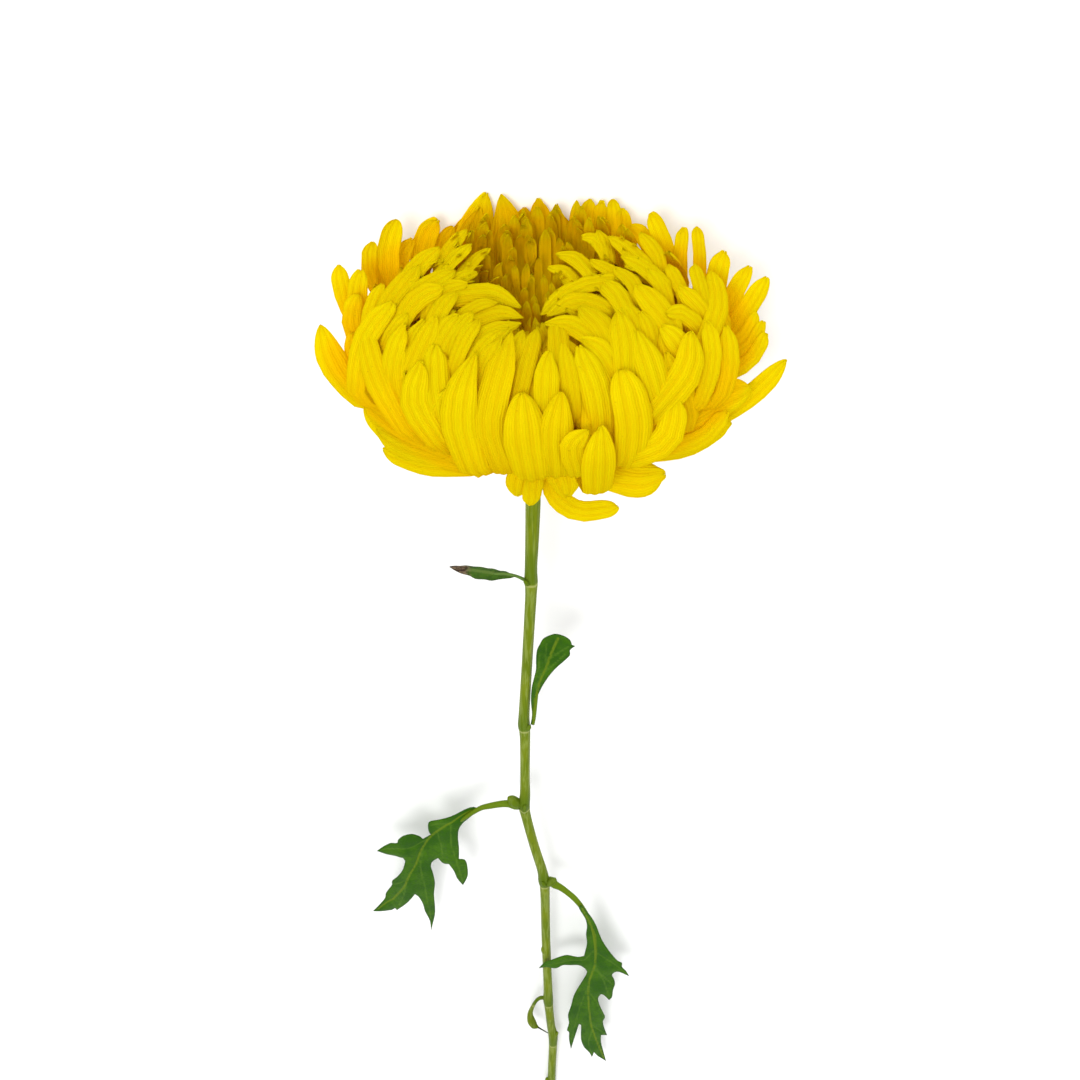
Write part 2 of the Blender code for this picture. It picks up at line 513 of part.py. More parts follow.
def under_petals():
    """Outermost row of petals, which clothes the underside from the calyx to the rim."""
    rnd = random.Random(7)
    made = []
    for k in range(UNDER_PETALS):
        turn = 360 * k / UNDER_PETALS + rnd.uniform(-3, 3)
        c = math.cos(math.radians(turn))
        reach = float(by_side(RIM, 0.0, c)) * rnd.uniform(*UNDER_REACH)
        spots = []
        for share in (0.45, 0.62, 0.78, 0.9, 1.0):
            radius = reach * share
            up = float(by_side(SKIN_UNDER, radius / float(by_side(RIM, 0.0, c)), c)) + UNDER_DEPTH
            spot = CENTRE + outward(turn) * radius + HEAD_UP * up
            while spot.z < UNDER_CLEAR:
                spot -= outward(turn) * 0.2
            spots.append(tuple(spot))
        line, hidden = rooted(spots)
        made.append({"line": line, "hidden": hidden, "width": UNDER_WIDTH * rnd.uniform(0.9, 1.1),
                     "blunt": 0.7, "facing": 0.0, "roll": rnd.uniform(-12, 12), "layer": UNDER_LAYER})
    return made


def all_petals():
    """Every petal of the head; the rule's fill in where none is read from the photograph."""
    read = read_petals()
    tips = np.array([row["line"][-1] for row in read])
    chosen = []
    for i, row in enumerate(rule_petals()):
        line, u = row["line"], row["layer"]
        right, near, up = in_head(line[-1])
        behind = -near / max(math.hypot(right, near), 0.001)
        if i < FLORETS_SKIPPED and behind < 0.5:
            continue
        room = 6.0 if u < 0.3 else 3.0
        if np.linalg.norm(tips - line[-1], axis=1).min() >= room:
            chosen.append(row)
    return chosen + under_petals() + read


def along_line(line, t):
    """Places and directions at shares t, of any shape, of an evenly spaced line."""
    known = np.linspace(0, 1, len(line))
    slope = unit(np.gradient(line, axis=0))
    place = np.stack([np.interp(t, known, line[:, k]) for k in range(3)], axis=-1)
    return place, unit(np.stack([np.interp(t, known, slope[:, k]) for k in range(3)], axis=-1))


def smooth_path(rows, spacing):
    """Rows of equal length, filled in along a Catmull-Rom curve; the first three numbers are a place."""
    rows = [np.array(r, float) for r in rows]
    rows = [2 * rows[0] - rows[1]] + rows + [2 * rows[-1] - rows[-2]]
    made = []
    for a, b, c, d in zip(rows, rows[1:], rows[2:], rows[3:]):
        count = max(1, int(np.linalg.norm(c[:3] - b[:3]) / spacing))
        for k in range(count):
            t = k / count
            square, cube = 2 * a - 5 * b + 4 * c - d, 3 * b - a - 3 * c + d
            made.append(0.5 * (2 * b + (c - a) * t + square * t * t + cube * t ** 3))
    made.append(rows[-2])
    return np.array(made)


def new_object(name, vertices, faces, look, collection):
    mesh = bpy.data.meshes.new(name)
    mesh.from_pydata([tuple((v - ORIGIN) * MM) for v in vertices], [], faces)
    mesh.validate()
    work = bmesh.new()
    work.from_mesh(mesh)
    bmesh.ops.recalc_face_normals(work, faces=work.faces)
    work.to_mesh(mesh)
    work.free()
    ob = bpy.data.objects.new(name, mesh)
    collection.objects.link(ob)
    mesh.materials.append(material(look))
    return ob


def material(look):
    found = bpy.data.materials.get(look)
    if found:
        return found
    colour, rough = LOOKS[look]
    mat = bpy.data.materials.new(look)
    mat.use_nodes = True
    shader = mat.node_tree.nodes["Principled BSDF"]
    shader.inputs["Base Color"].default_value = (*colour, 1.0)
    shader.inputs["Roughness"].default_value = rough
    mat.diffuse_color = (*colour, 1.0)
    return mat


def wedge(rings, thickness):
    """Blade with a flat inner face, for the crowded florets of the middle."""
    vertices = []
    for place, across, inward, width in rings:
        edge = inward * (CUP * width + thickness / 2)
        vertices.append(place - across * (width / 2) + edge)
        vertices.append(place - inward * (thickness / 2))
        vertices.append(place + across * (width / 2) + edge)
    faces = [(0, 1, 2)]
    for i in range(len(rings) - 1):
        left, keel, right = 3 * i, 3 * i + 1, 3 * i + 2
        left_n, keel_n, right_n = left + 3, keel + 3, right + 3
        faces += [(left, left_n, keel_n), (left, keel_n, keel)]
        faces += [(right, keel_n, right_n), (right, keel, keel_n)]
        faces += [(left, right_n, left_n), (left, right, right_n)]
    last = 3 * (len(rings) - 1)
    faces.append((last, last + 2, last + 1))
    return vertices, faces


def blade(rings, thickness):
    """Channelled blade. Each ring is (place, across, inward, width); returns vertices and faces."""
    vertices = []
    for place, across, inward, width in rings:
        edge = inward * (CUP * width)
        vertices.append(place - across * (width / 2) + edge)
        vertices.append(place - inward * (thickness / 2))
        vertices.append(place + across * (width / 2) + edge)
        vertices.append(place + inward * (thickness / 2))
    faces = [(0, 1, 3), (1, 2, 3)]
    for i in range(len(rings) - 1):
        a = 4 * i
        left, out, right, inner = a, a + 1, a + 2, a + 3
        left_n, out_n, right_n, inner_n = a + 4, a + 5, a + 6, a + 7
        faces += [(left, left_n, out_n), (left, out_n, out), (left, inner_n, left_n), (left, inner, inner_n)]
        faces += [(right, out_n, right_n), (right, out, out_n)]
        faces += [(right, right_n, inner_n), (right, inner_n, inner)]
    last = 4 * (len(rings) - 1)
    faces += [(last, last + 3, last + 1), (last + 1, last + 3, last + 2)]
    return vertices, faces


def petal_rings(form, shares, scale):
    """Sections of a petal at shares of its length, each (place, across, inward, width)."""
    hidden = form["hidden"]
    place, along = along_line(form["line"], shares)
    back = back_of(place, along)
    to_eye = unit(np.array(PHOTO[0]) - form["line"][-1])
    turned_by = abs(form["facing"]) * soft_step(0.4 * hidden, hidden, shares)[:, None]
    back = back * (1 - turned_by) + to_eye * np.sign(form["facing"]) * turned_by
    back = unit(back - along * (back * along).sum(-1, keepdims=True))
    side = np.cross(along, back)
    angle = np.radians(form["roll"]) * shares[:, None]
    across = side * np.cos(angle) + back * np.sin(angle)
    inward = side * np.sin(angle) - back * np.cos(angle)
    keys = [0, 0.4 * hidden, hidden, mix(hidden, 1, 0.5), mix(hidden, 1, 0.85), 1]
    widths = np.interp(shares, keys, [0.32, 0.5, 0.86, 1.0, 0.9, mix(0.15, 0.6, form["blunt"])])
    widths = widths * form["width"] * scale
    return [(Vector(a), Vector(b), Vector(c), float(w)) for a, b, c, w in zip(place, across, inward, widths)]


def turned(name, profile, steps, centre, look, collection):
    """Solid turned about the head's axis; profile points are (radius, height), bottom to top."""
    mesh = bpy.data.meshes.new(name)
    points = [(r * MM, 0.0, h * MM) for r, h in reversed(profile)]
    mesh.from_pydata(points, [(i, i + 1) for i in range(len(points) - 1)], [])
    ob = bpy.data.objects.new(name, mesh)
    collection.objects.link(ob)
    spin = ob.modifiers.new("turn", "SCREW")
    spin.steps = steps
    spin.render_steps = steps
    spin.axis = "Z"
    spin.use_merge_vertices = True
    spin.merge_threshold = 0.00001
    apply_modifiers(ob)
    frame = Matrix((RIGHT, HEAD_FAR, HEAD_UP)).transposed().to_4x4()
    frame.translation = (centre - ORIGIN) * MM
    ob.data.transform(frame)
    face_outward(ob)
    ob.data.materials.append(material(look))
    return ob


def face_outward(ob):
    work = bmesh.new()
    work.from_mesh(ob.data)
    bmesh.ops.remove_doubles(work, verts=work.verts, dist=0.000001)
    bmesh.ops.recalc_face_normals(work, faces=work.faces)
    bmesh.ops.triangulate(work, faces=work.faces)
    work.to_mesh(ob.data)
    work.free()


def tube(name, path, resolution, look, collection):
    """Round rod with closed ends along (place, radius) points."""
    curve = bpy.data.curves.new(name, "CURVE")
    curve.dimensions = "3D"
    curve.bevel_depth = MM
    curve.bevel_resolution = resolution
    curve.use_fill_caps = True
    line = curve.splines.new("POLY")
    line.points.add(len(path) - 1)
    for point, (place, radius) in zip(line.points, path):
        point.co = (*((place - ORIGIN) * MM), 1.0)
        point.radius = radius
    guide = bpy.data.objects.new(name + "_line", curve)
    collection.objects.link(guide)
    bpy.context.view_layer.update()
    graph = bpy.context.evaluated_depsgraph_get()
    mesh = bpy.data.meshes.new_from_object(guide.evaluated_get(graph))
    mesh.name = name
    ob = bpy.data.objects.new(name, mesh)
    ob.matrix_world = guide.matrix_world
    collection.objects.link(ob)
    bpy.data.objects.remove(guide)
    face_outward(ob)
    ob.data.materials.clear()
    ob.data.materials.append(material(look))
    return ob


def sheet(name, edge, inside, place, thickness, look, collection):
    """Leaf blade: a surface cut to an outline, bent by place(u, v), with Solidify for its body."""
    flat = [Vector(p) for p in list(edge) + list(inside)]
    loop = [(i, (i + 1) % len(edge)) for i in range(len(edge))]
    points, _, cells, _, _, _ = delaunay_2d_cdt(flat, loop, [list(range(len(edge)))], 1, 0.0001)
    mesh = bpy.data.meshes.new(name)
    mesh.from_pydata([tuple((place(p.x, p.y) - ORIGIN) * MM) for p in points], [], cells)
    ob = bpy.data.objects.new(name, mesh)
    collection.objects.link(ob)
    body = ob.modifiers.new("body", "SOLIDIFY")
    body.thickness = thickness * MM
    body.offset = 0.0
    apply_modifiers(ob)
    face_outward(ob)
    ob.data.materials.append(material(look))
    return ob


def join_solids(base, others, solver):
    """Union of a base object with a list of overlapping solids, which are then removed."""
    holder = bpy.data.collections.new("joined_solids")
    bpy.context.scene.collection.children.link(holder)
    for ob in others:
        for owner in list(ob.users_collection):
            owner.objects.unlink(ob)
        holder.objects.link(ob)
    step = base.modifiers.new("join", "BOOLEAN")
    step.operation = "UNION"
    step.operand_type = "COLLECTION"
    step.collection = holder
    step.solver = solver
    apply_modifiers(base)
    for ob in list(holder.objects):
        bpy.data.objects.remove(ob)
    bpy.data.collections.remove(holder)


def apply_modifiers(ob):
    bpy.context.view_layer.update()
    graph = bpy.context.evaluated_depsgraph_get()
    mesh = bpy.data.meshes.new_from_object(ob.evaluated_get(graph))
    ob.modifiers.clear()
    old = ob.data
    ob.data = mesh
    mesh.name = ob.name
    bpy.data.meshes.remove(old)


def trim_at_table(ob, cutters):
    """Cut away all that lies below the table's surface."""
    mesh = bpy.data.meshes.new("table_cutter")
    cutter = bpy.data.objects.new("table_cutter", mesh)
    cutters.objects.link(cutter)
    work = bmesh.new()
    bmesh.ops.create_cube(work, size=1.0)
    bmesh.ops.scale(work, vec=TABLE, verts=work.verts)
    bmesh.ops.translate(work, vec=(0.0, 0.0, -TABLE[2] / 2), verts=work.verts)
    work.to_mesh(mesh)
    work.free()
    cutter.display_type = "WIRE"
    cutter.hide_render = True
    step = ob.modifiers.new("trim", "BOOLEAN")
    step.operation = "DIFFERENCE"
    step.object = cutter
    step.solver = "EXACT"
    apply_modifiers(ob)
    bpy.data.objects.remove(cutter)


def part_twins(work):
    """Draw apart vertices that share one place, each a little way into its own body."""
    places = {}
    for vertex in work.verts:
        places.setdefault(tuple(vertex.co), []).append(vertex)
    for twins in places.values():
        if len(twins) < 2:
            continue
        for vertex in twins:
            mean = Vector()
            for edge in vertex.link_edges:
                mean += edge.other_vert(vertex).co / len(vertex.link_edges)
            if (mean - vertex.co).length > 0:
                vertex.co += (mean - vertex.co).normalized() * (TWIN_SHIFT * MM)


def keep_solid(ob):
    """Drop sealed hollows and loose scrap, leaving the one outward body."""
    work = bmesh.new()
    work.from_mesh(ob.data)
    bmesh.ops.triangulate(work, faces=work.faces)
    part_twins(work)
    left = set(work.faces)
    parts = []
    while left:
        seed = left.pop()
        part = {seed}
        front = [seed]
        while front:
            face = front.pop()
            for edge in face.edges:
                for other in edge.link_faces:
                    if other in left:
                        left.remove(other)
                        part.add(other)
                        front.append(other)
        volume = 0.0
        for face in part:
            a, b, c = [v.co for v in face.verts]
            volume += a.dot(b.cross(c)) / 6.0
        parts.append((volume, part))
    parts.sort(key=lambda item: item[0])
    for _, part in parts[:-1]:
        bmesh.ops.delete(work, geom=list(part), context="FACES")
    work.to_mesh(ob.data)
    work.free()


def finish_solid(ob, sharp_angle):
    """Keep the one body, shaded smooth but for its sharp edges."""
    keep_solid(ob)
    ob.data.shade_smooth()
    ob.data.set_sharp_from_angle(angle=math.radians(sharp_angle))


def core_reach(c):
    """Radius of the core's side for the cosine of the turn."""
    return by_side(RIM, 0.0, c) - mix(CORE_SIDE_DEPTH, CORE_FAR_DEPTH, np.maximum(-c, 0.0))


def core_heights(radius, c):
    """Underside and top of the core at a radius."""
    share = radius / by_side(RIM, 0.0, c)
    under = by_side(SKIN_UNDER, share, c) + CORE_UNDER_DEPTH
    slope = np.clip((radius - SEAT[0]) / (SEAT_SLOPE_END - SEAT[0]), 0, 1)
    return mix(SEAT[1], under, slope), by_side(SKIN_TOP, share, c) - CORE_TOP_DEPTH


def depth_in_core(points):
    """Distance of each place in from the core's surface; negative outside."""
    right, near, up = in_head(points)
    radius = np.hypot(right, near)
    c = near / np.maximum(radius, 0.001)
    under, top = core_heights(radius, c)
    return np.minimum(np.minimum(up - under, top - up), core_reach(c) - radius)


def head_core(collection):
    """Solid that follows the bloom's skin from within, lofted through its turns."""
    shares = (0.0, 0.5, 0.75, 0.92, 1.0, 0.92, 0.75, 0.5, 0.2)
    last_under = 3
    vertices = [head_point(0, 0, SEAT[1])]
    for k in range(CORE_TURNS):
        turn = 2 * math.pi * k / CORE_TURNS
        c = math.cos(turn)
        reach = float(core_reach(c))
        for row, share in enumerate(shares):
            radius = mix(SEAT[0], reach, share) if row <= last_under else reach * share
            under, top = core_heights(radius, c)
            height = under if row <= last_under else top
            if share == 1.0:
                height = (under + top) / 2
            vertices.append(head_point(math.sin(turn) * radius, c * radius, float(height)))
    vertices.append(head_point(0, 0, float(core_heights(0.0, 1.0)[1])))
    rows = len(shares)
    crown = len(vertices) - 1
    faces = []
    for k in range(CORE_TURNS):
        a, b = 1 + k * rows, 1 + (k + 1) % CORE_TURNS * rows
        faces.append((0, b, a))
        faces += [(a + i, b + i, b + i + 1, a + i + 1) for i in range(rows - 1)]
        faces.append((a + rows - 1, b + rows - 1, crown))
    return new_object("bloom", vertices, faces, "petal_yellow", collection)


def crosses_itself(vertices, faces):
    tree = BVHTree.FromPolygons([tuple(v) for v in vertices], faces, epsilon=0.0)
    return any(a < b and not set(faces[a]) & set(faces[b]) for a, b in tree.overlap(tree))


def petal_solid(form):
    """Blade of one petal, with more sections or less width where a tight bend would fold it."""
    deep = depth_in_core(form["line"]) > 1.5
    deep[round(0.6 * LINE_POINTS):] = False
    deep[1] = True
    start = np.flatnonzero(deep)[-1] / (LINE_POINTS - 1)
    free = abs(form["facing"]) == FREE_FACING
    if form["layer"] == 0:
        choices = [(0.0, 0.45, 0.85, 1.0), (0.0, 0.25, 0.5, 0.75, 1.0)]
    else:
        choices = [(0.0, 0.65, 1.0), (0.0, 0.35, 0.7, 1.0)]
    for scale in (1.0, 0.85, 0.7, 0.5):
        for shares in choices:
            rings = petal_rings(form, start + (1 - start) * np.array(shares), scale)
            make = blade if free else wedge
            vertices, faces = make(rings, PETAL_THICKNESS)
            if not crosses_itself(vertices, faces):
                return vertices, faces
    return vertices, faces


def build_bloom(collection, cutters):
    bloom = head_core(collection)
    solids = []
    for index, form in enumerate(all_petals()):
        by_rule = form["layer"] > 0 and form["layer"] != UNDER_LAYER
        _, tip_near, _ = in_head(form["line"][-1])
        crowded = form["layer"] > INNER_LAYER and tip_near > FAR_WALL
        if by_rule and index % (4 if crowded else 2):
            continue
        vertices, faces = petal_solid(form)
        solids.append(new_object("petal", vertices, faces, "petal_yellow", collection))
    join_solids(bloom, solids, "MANIFOLD")
    trim_at_table(bloom, cutters)
    finish_solid(bloom, 35.0)
    return bloom


def build_calyx(collection):
    calyx = turned("calyx", CALYX_CUP, 14, CENTRE, "calyx_green", collection)
    solids = []
    for count, root, bulge, tip, width, first in BRACT_ROWS:
        for k in range(count):
            out = outward(first + 360 * k / count)
            rings = []
            for t, share in ((0.0, 0.9), (0.5, 1.0), (1.0, 0.3)):
                s = 1 - t
                radius = root[0] * s * s + bulge[0] * 2 * s * t + tip[0] * t * t
                height = root[1] * s * s + bulge[1] * 2 * s * t + tip[1] * t * t
                along_r = (bulge[0] - root[0]) * s + (tip[0] - bulge[0]) * t
                along_h = (bulge[1] - root[1]) * s + (tip[1] - bulge[1]) * t
                along = (out * along_r + HEAD_UP * along_h).normalized()
                across = HEAD_UP.cross(out)
                inward = across.cross(along)
                if inward.dot(out) > 0:
                    inward = -inward
                rings.append((CENTRE + out * radius + HEAD_UP * height, across, inward, width * share))
            vertices, faces = blade(rings, BRACT_THICKNESS)
            solids.append(new_object("bract", vertices, faces, "calyx_green", collection))
    join_solids(calyx, solids, "EXACT")
    finish_solid(calyx, 35.0)
    return calyx


def photo_row(x, y, far, radius):
    """Place and radius of a rod's row, where a pixel's sight line is far of the bloom's centre."""
    return from_photo(x, y, FAR, far), radius


def beside_stem(y, side, radius):
    """First rows of a stalk: square to the stem's swelling on a row of the picture, and just clear of it."""
    row = next(r for r in STEM if r[1] == y)
    place, stem_radius = photo_row(*row)
    return [(place + RIGHT * (side * (stem_radius + GAP + reach)), radius) for reach in (0.0, STALK_FOOT)]


def build_stem(collection):
    path = [(head_point(0, 0, -35 - GAP), 2.4), (head_point(-0.6, 0, -40), 2.4)]
    path += [photo_row(*row) for row in STEM]
    path.append((plant_point(STEM_END_RIGHT, STEM_LENGTH, 0.0), STEM_END_HEIGHT))
    stem = tube("stem", path, 4, "stem_green", collection)
    finish_solid(stem, 35.0)
    return stem


def stalk_path(stalk):
    """Rows of a stalk that begins beside the stem."""
    start, rows = stalk
    return beside_stem(*start) + [photo_row(*row) for row in rows]


def build_leaf(name, edge, inside, place, thickness, stalk, look, collection):
    leaf = sheet(name, edge, inside, place, thickness, look, collection)
    join_solids(leaf, [tube(name + "_stalk", stalk, 1, look, collection)], "EXACT")
    finish_solid(leaf, 30.0)
    return leaf


def on_surface(x, y, far_of):
    """Right and below of the place where a pixel's sight line meets a leaf's surface."""
    right, below = 0.0, 200.0
    for _ in range(9):
        place = from_photo(x, y, FAR, far_of(right, below)) - CENTRE
        right, below = place.dot(RIGHT), -place.dot(UP)
    return right, below


def photo_leaf(name, edge, rib, far_of, stalk, collection):
    """Leaf whose edge and rib are pixels, laid on the surface that far_of gives."""
    def place(right, below):
        return plant_point(right, below, far_of(right, below))

    edge = [on_surface(x, y, far_of) for x, y in edge]
    rib = [on_surface(x, y, far_of) for x, y in rib]
    return build_leaf(name, edge, rib, place, LEAF_THICKNESS, stalk, "leaf_green", collection)


def far_of_leaf_2(right, below):
    fold = abs(right - mix(-1.4, 4.6, (150 - below) / 34))
    return -1.2 - 0.35 * fold + 0.02 * (150 - below)


def far_of_leaf_3(right, below):
    droop = (below - 210) / 70
    return -1.5 + 5.0 * droop * droop + math.sin((right + 30) * 0.35) * 1.1


def far_of_leaf_4(right, below):
    droop = (below - 288) / 92
    fold = 0.10 * abs(right - 21.5)
    return -4.2 + 1.8 * droop * droop - 0.2 * fold + 0.8 * math.sin(right * 0.45) * min(droop * 2, 1)


def leaf_1_place(right, far):
    """Curled dry leaf seen edge-on; far is measured across the blade."""
    along = (-5.1 - right) / 23.9
    below = 88.8 - 4.6 * along + 0.05 * (far + 0.5) ** 2 * (1 + along)
    return plant_point(right, below, far)


def build_leaves(collection):
    rib_1 = [(-13, -0.5), (-18, -0.5), (-23, -0.5)]
    stalk_1 = stalk_path(LEAF_1_STALK)
    build_leaf("leaf_1", LEAF_1_EDGE, rib_1, leaf_1_place, DRY_THICKNESS, stalk_1, "dry_leaf", collection)
    stalk_2 = [photo_row(*row) for row in LEAF_2_STALK]
    photo_leaf("leaf_2", LEAF_2_EDGE, LEAF_2_RIB, far_of_leaf_2, stalk_2, collection)
    photo_leaf("leaf_3", LEAF_3_EDGE, LEAF_3_RIB, far_of_leaf_3, stalk_path(LEAF_3_STALK), collection)
    photo_leaf("leaf_4", LEAF_4_EDGE, LEAF_4_RIB, far_of_leaf_4, stalk_path(LEAF_4_STALK), collection)


def build_side_shoot(collection):
    shoot = tube("side_shoot", stalk_path(SHOOT), 2, "stem_green", collection)
    finish_solid(shoot, 35.0)
    return shoot


def main():
    for ob in list(bpy.data.objects):
        bpy.data.objects.remove(ob)
    collection = bpy.data.collections.new("disbud_chrysanthemum")
    cutters = bpy.data.collections.new("cutters")
    bpy.context.scene.collection.children.link(collection)
    bpy.context.scene.collection.children.link(cutters)
    build_bloom(collection, cutters)
    build_calyx(collection)
    build_stem(collection)
    build_leaves(collection)
    build_side_shoot(collection)


main()
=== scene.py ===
"""Looks of the disbud chrysanthemum: fine petals, bracts, stem, leaves and their finishes.

Lengths are millimetres and angles degrees until a mesh is made. The flower has its own
directions, as in its source: UP runs along the stem towards the bloom, FAR points down to the
table behind the bloom, RIGHT is the world's X. A turn of 0 is the near side of the bloom, which
faces away from the table, and 90 is its right. Pixels are those of the 1080 x 1080 photograph.
"""
import math
import random
from functools import cache

import bmesh
import bpy
import numpy as np
from mathutils import Matrix, Vector
from mathutils.geometry import delaunay_2d_cdt


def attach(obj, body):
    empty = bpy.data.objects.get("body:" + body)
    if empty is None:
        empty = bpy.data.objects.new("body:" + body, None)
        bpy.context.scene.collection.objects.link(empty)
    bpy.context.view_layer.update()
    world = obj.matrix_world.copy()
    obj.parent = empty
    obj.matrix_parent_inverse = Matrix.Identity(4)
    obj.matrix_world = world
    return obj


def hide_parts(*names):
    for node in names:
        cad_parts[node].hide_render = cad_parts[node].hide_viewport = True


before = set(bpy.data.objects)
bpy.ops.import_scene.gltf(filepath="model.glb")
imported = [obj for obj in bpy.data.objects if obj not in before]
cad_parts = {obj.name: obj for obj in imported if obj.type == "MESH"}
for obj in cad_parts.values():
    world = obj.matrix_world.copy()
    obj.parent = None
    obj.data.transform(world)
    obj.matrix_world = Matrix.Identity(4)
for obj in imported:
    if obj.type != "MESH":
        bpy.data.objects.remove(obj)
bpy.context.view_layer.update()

MM = 0.001

# Driving sizes of the flower
BLOOM_HEIGHT = 45.4
STEM_LENGTH = 410.0
STEM_END_HEIGHT = 1.75
HEAD_NOD = 8.0
GAP = 0.35
ORIGIN = Vector((1.2, -190.46, 0.0))

SLOPE = math.asin((BLOOM_HEIGHT - STEM_END_HEIGHT) / STEM_LENGTH)
CENTRE = Vector((0.0, 0.0, BLOOM_HEIGHT))
RIGHT = Vector((1.0, 0.0, 0.0))
UP = Vector((0.0, math.cos(SLOPE), math.sin(SLOPE)))
FAR = Vector((0.0, math.sin(SLOPE), -math.cos(SLOPE)))
NOD = math.radians(HEAD_NOD)
HEAD_UP = UP * math.cos(NOD) - FAR * math.sin(NOD)
HEAD_FAR = FAR * math.cos(NOD) + UP * math.sin(NOD)

# The photograph's camera
PHOTO_SIZE = 1080
EYE_DISTANCE = 380.0
EYE_ELEVATION = 31.0
MM_PER_PIXEL = 0.28
BLOOM_PIXEL = 338
SENSOR = 36.0

# Petals: thickness in the middle and at the edges, less in a petal that is narrower than
# THINNER_BELOW; how many ribs, and depth and number of the notches in a tip
PETAL_THICK = 0.6
EDGE_THICK = 0.2
THINNER_BELOW = 7.0
RIBS = 3.0
TEETH = (0.1, 0.9)
NOTCHES = (1.5, 2.0, 2.5)

# As shares of a petal's width: height of its ribs, hood of its tip, length of the tip when pointed
# and when blunt, how wide it is from root to tip, how far it is cupped and waved, and its edge lifted
RIB_HEIGHT = 0.024
HOOD = 0.12
CAP_WIDTHS = (1.7, 0.7)
WIDTH_ALONG = (0.32, 0.5, 0.86, 1.0, 0.84)
CUPPED = [(0, 0.12), (0.8, 0.12), (1, 0.16)]
WAVED = 0.05
EDGE_LIFT = 0.02

# A tip's length at most, as a share of the petal's, and the power of its outline when pointed and
# when blunt; rows to the tip, rows in it and places across, for petals in front and behind
CAP_LONGEST = 0.4
CAP_POWER = (1.1, 2.0)
FINE_GRID = (14, 8, 19)
PLAIN_GRID = (9, 5, 9)
LINE_POINTS = 60
PETAL_SEED = 11

# Florets that the rule places, from the outermost (0) to the innermost (1): how many, and how many
# of the outermost are left out; how far out and up their tips lie, which way the tips lean, how long
# they run straight from the root and to the tip, and their width
FLORETS = 290
FLORETS_SKIPPED = 26
GOLDEN_ANGLE = 137.508
RULE_SEED = 4
TIP_OUT = {
    "near": [(0, 38), (0.13, 34), (0.3, 24), (0.5, 15), (0.75, 8), (1, 2.5)],
    "side": [(0, 57), (0.12, 52), (0.25, 41), (0.4, 29), (0.6, 17), (0.8, 8), (1, 2.5)],
    "far": [(0, 55), (0.25, 49), (0.5, 42), (0.75, 30), (0.88, 15), (1, 3)],
}
TIP_UP = {
    "near": [(0, 0), (0.13, 6.5), (0.3, 11), (0.5, 11.5), (0.75, 9.5), (1, 8.5)],
    "side": [(0, 3), (0.12, 9.5), (0.25, 14.5), (0.4, 15.5), (0.6, 13), (0.8, 10), (1, 8.5)],
    "far": [(0, 3), (0.1, 9), (0.25, 14), (0.5, 15), (0.75, 12), (0.88, 9.5), (1, 8.5)],
}
LEAN = {
    "near": [(0, 115), (0.13, 130), (0.3, 156), (0.5, 168), (0.8, 165), (1, 105)],
    "side": [(0, 68), (0.12, 85), (0.25, 128), (0.4, 155), (0.6, 168), (0.8, 160), (1, 105)],
    "far": [(0, 70), (0.25, 88), (0.5, 104), (0.75, 125), (1, 105)],
}
REACH_ROOT = [(0, 34), (0.25, 29), (0.5, 22), (0.75, 14), (1, 5)]
REACH_TIP = [(0, 24), (0.25, 25), (0.5, 21), (0.75, 14), (1, 6)]
WIDTH = [(0, 12), (0.3, 10), (0.5, 8.0), (0.7, 6.0), (0.85, 4.5), (1, 3)]

# Radius and height of their roots, the slope at which they leave, how far the tips are shifted right
# of the axis, and how much each of these varies from one to the next
ROOT_OUT = (12, 1.5)
ROOT_UP = (-21, -10)
LAUNCH = (-14, 60)
LAUNCH_RISE = 1.2
CALMER_INSIDE = 0.6
# Painted light: the rule's florets are brightened the more, the deeper their layer lies in the shaded bowl
RULE_PAINTED_LIGHT = (0.3, 0.7)
HEART_RIGHT = (2.5, -1.5)
TURN_SPREAD = 5
TIP_SPREAD = 2.5
LEAN_SPREAD = 12
SWING_SPREAD = 16
ROLL_SPREAD = 20
WIDTH_SPREAD = (0.88, 1.12)
BLUNT = (0.7, 0.4)
RULE_HIDDEN = 0.45

# Room that the rule's outer and inner florets leave around the tip of a petal that was read, and
# how a petal is drawn in where it would run into the table
ROOM = (6.0, 3.0)
ROOM_CHANGE = 0.3
LIFT_TRIES = 40
LIFT_STEP = 0.985
TABLE_DIP = -0.25
TABLE_EASED = 2.0
TABLE_SOFT = 0.12

# Skin of the bloom: radius of its rim, and the heights of its top and underside over the share of
# that radius, on its near, side and far sides
RIM = {"near": [(0, 44)], "side": [(0, 63)], "far": [(0, 56)]}
SKIN_TOP = {
    "near": [(0, 7.5), (0.12, 10), (0.3, 13.5), (0.5, 14), (0.68, 11), (0.84, 4), (0.94, -4), (1, -12)],
    "side": [(0, 7.5), (0.12, 10.5), (0.3, 15), (0.5, 17.5), (0.68, 17), (0.82, 13), (0.93, 7), (1, 0)],
    "far": [(0, 7.5), (0.1, 7), (0.3, 8.5), (0.6, 12), (0.85, 15), (1, 12)],
}
SKIN_UNDER = {
    "near": [(0, -23), (0.7, -23), (0.88, -22), (0.96, -19), (1, -12)],
    "side": [(0, -23), (0.75, -19), (0.88, -14), (0.96, -8), (1, 0)],
    "far": [(0, -23), (0.75, -18), (0.9, -10), (0.98, 0), (1, 12)],
}
ROUNDNESS = (63.0, 50.0, 22.0, -3.0)
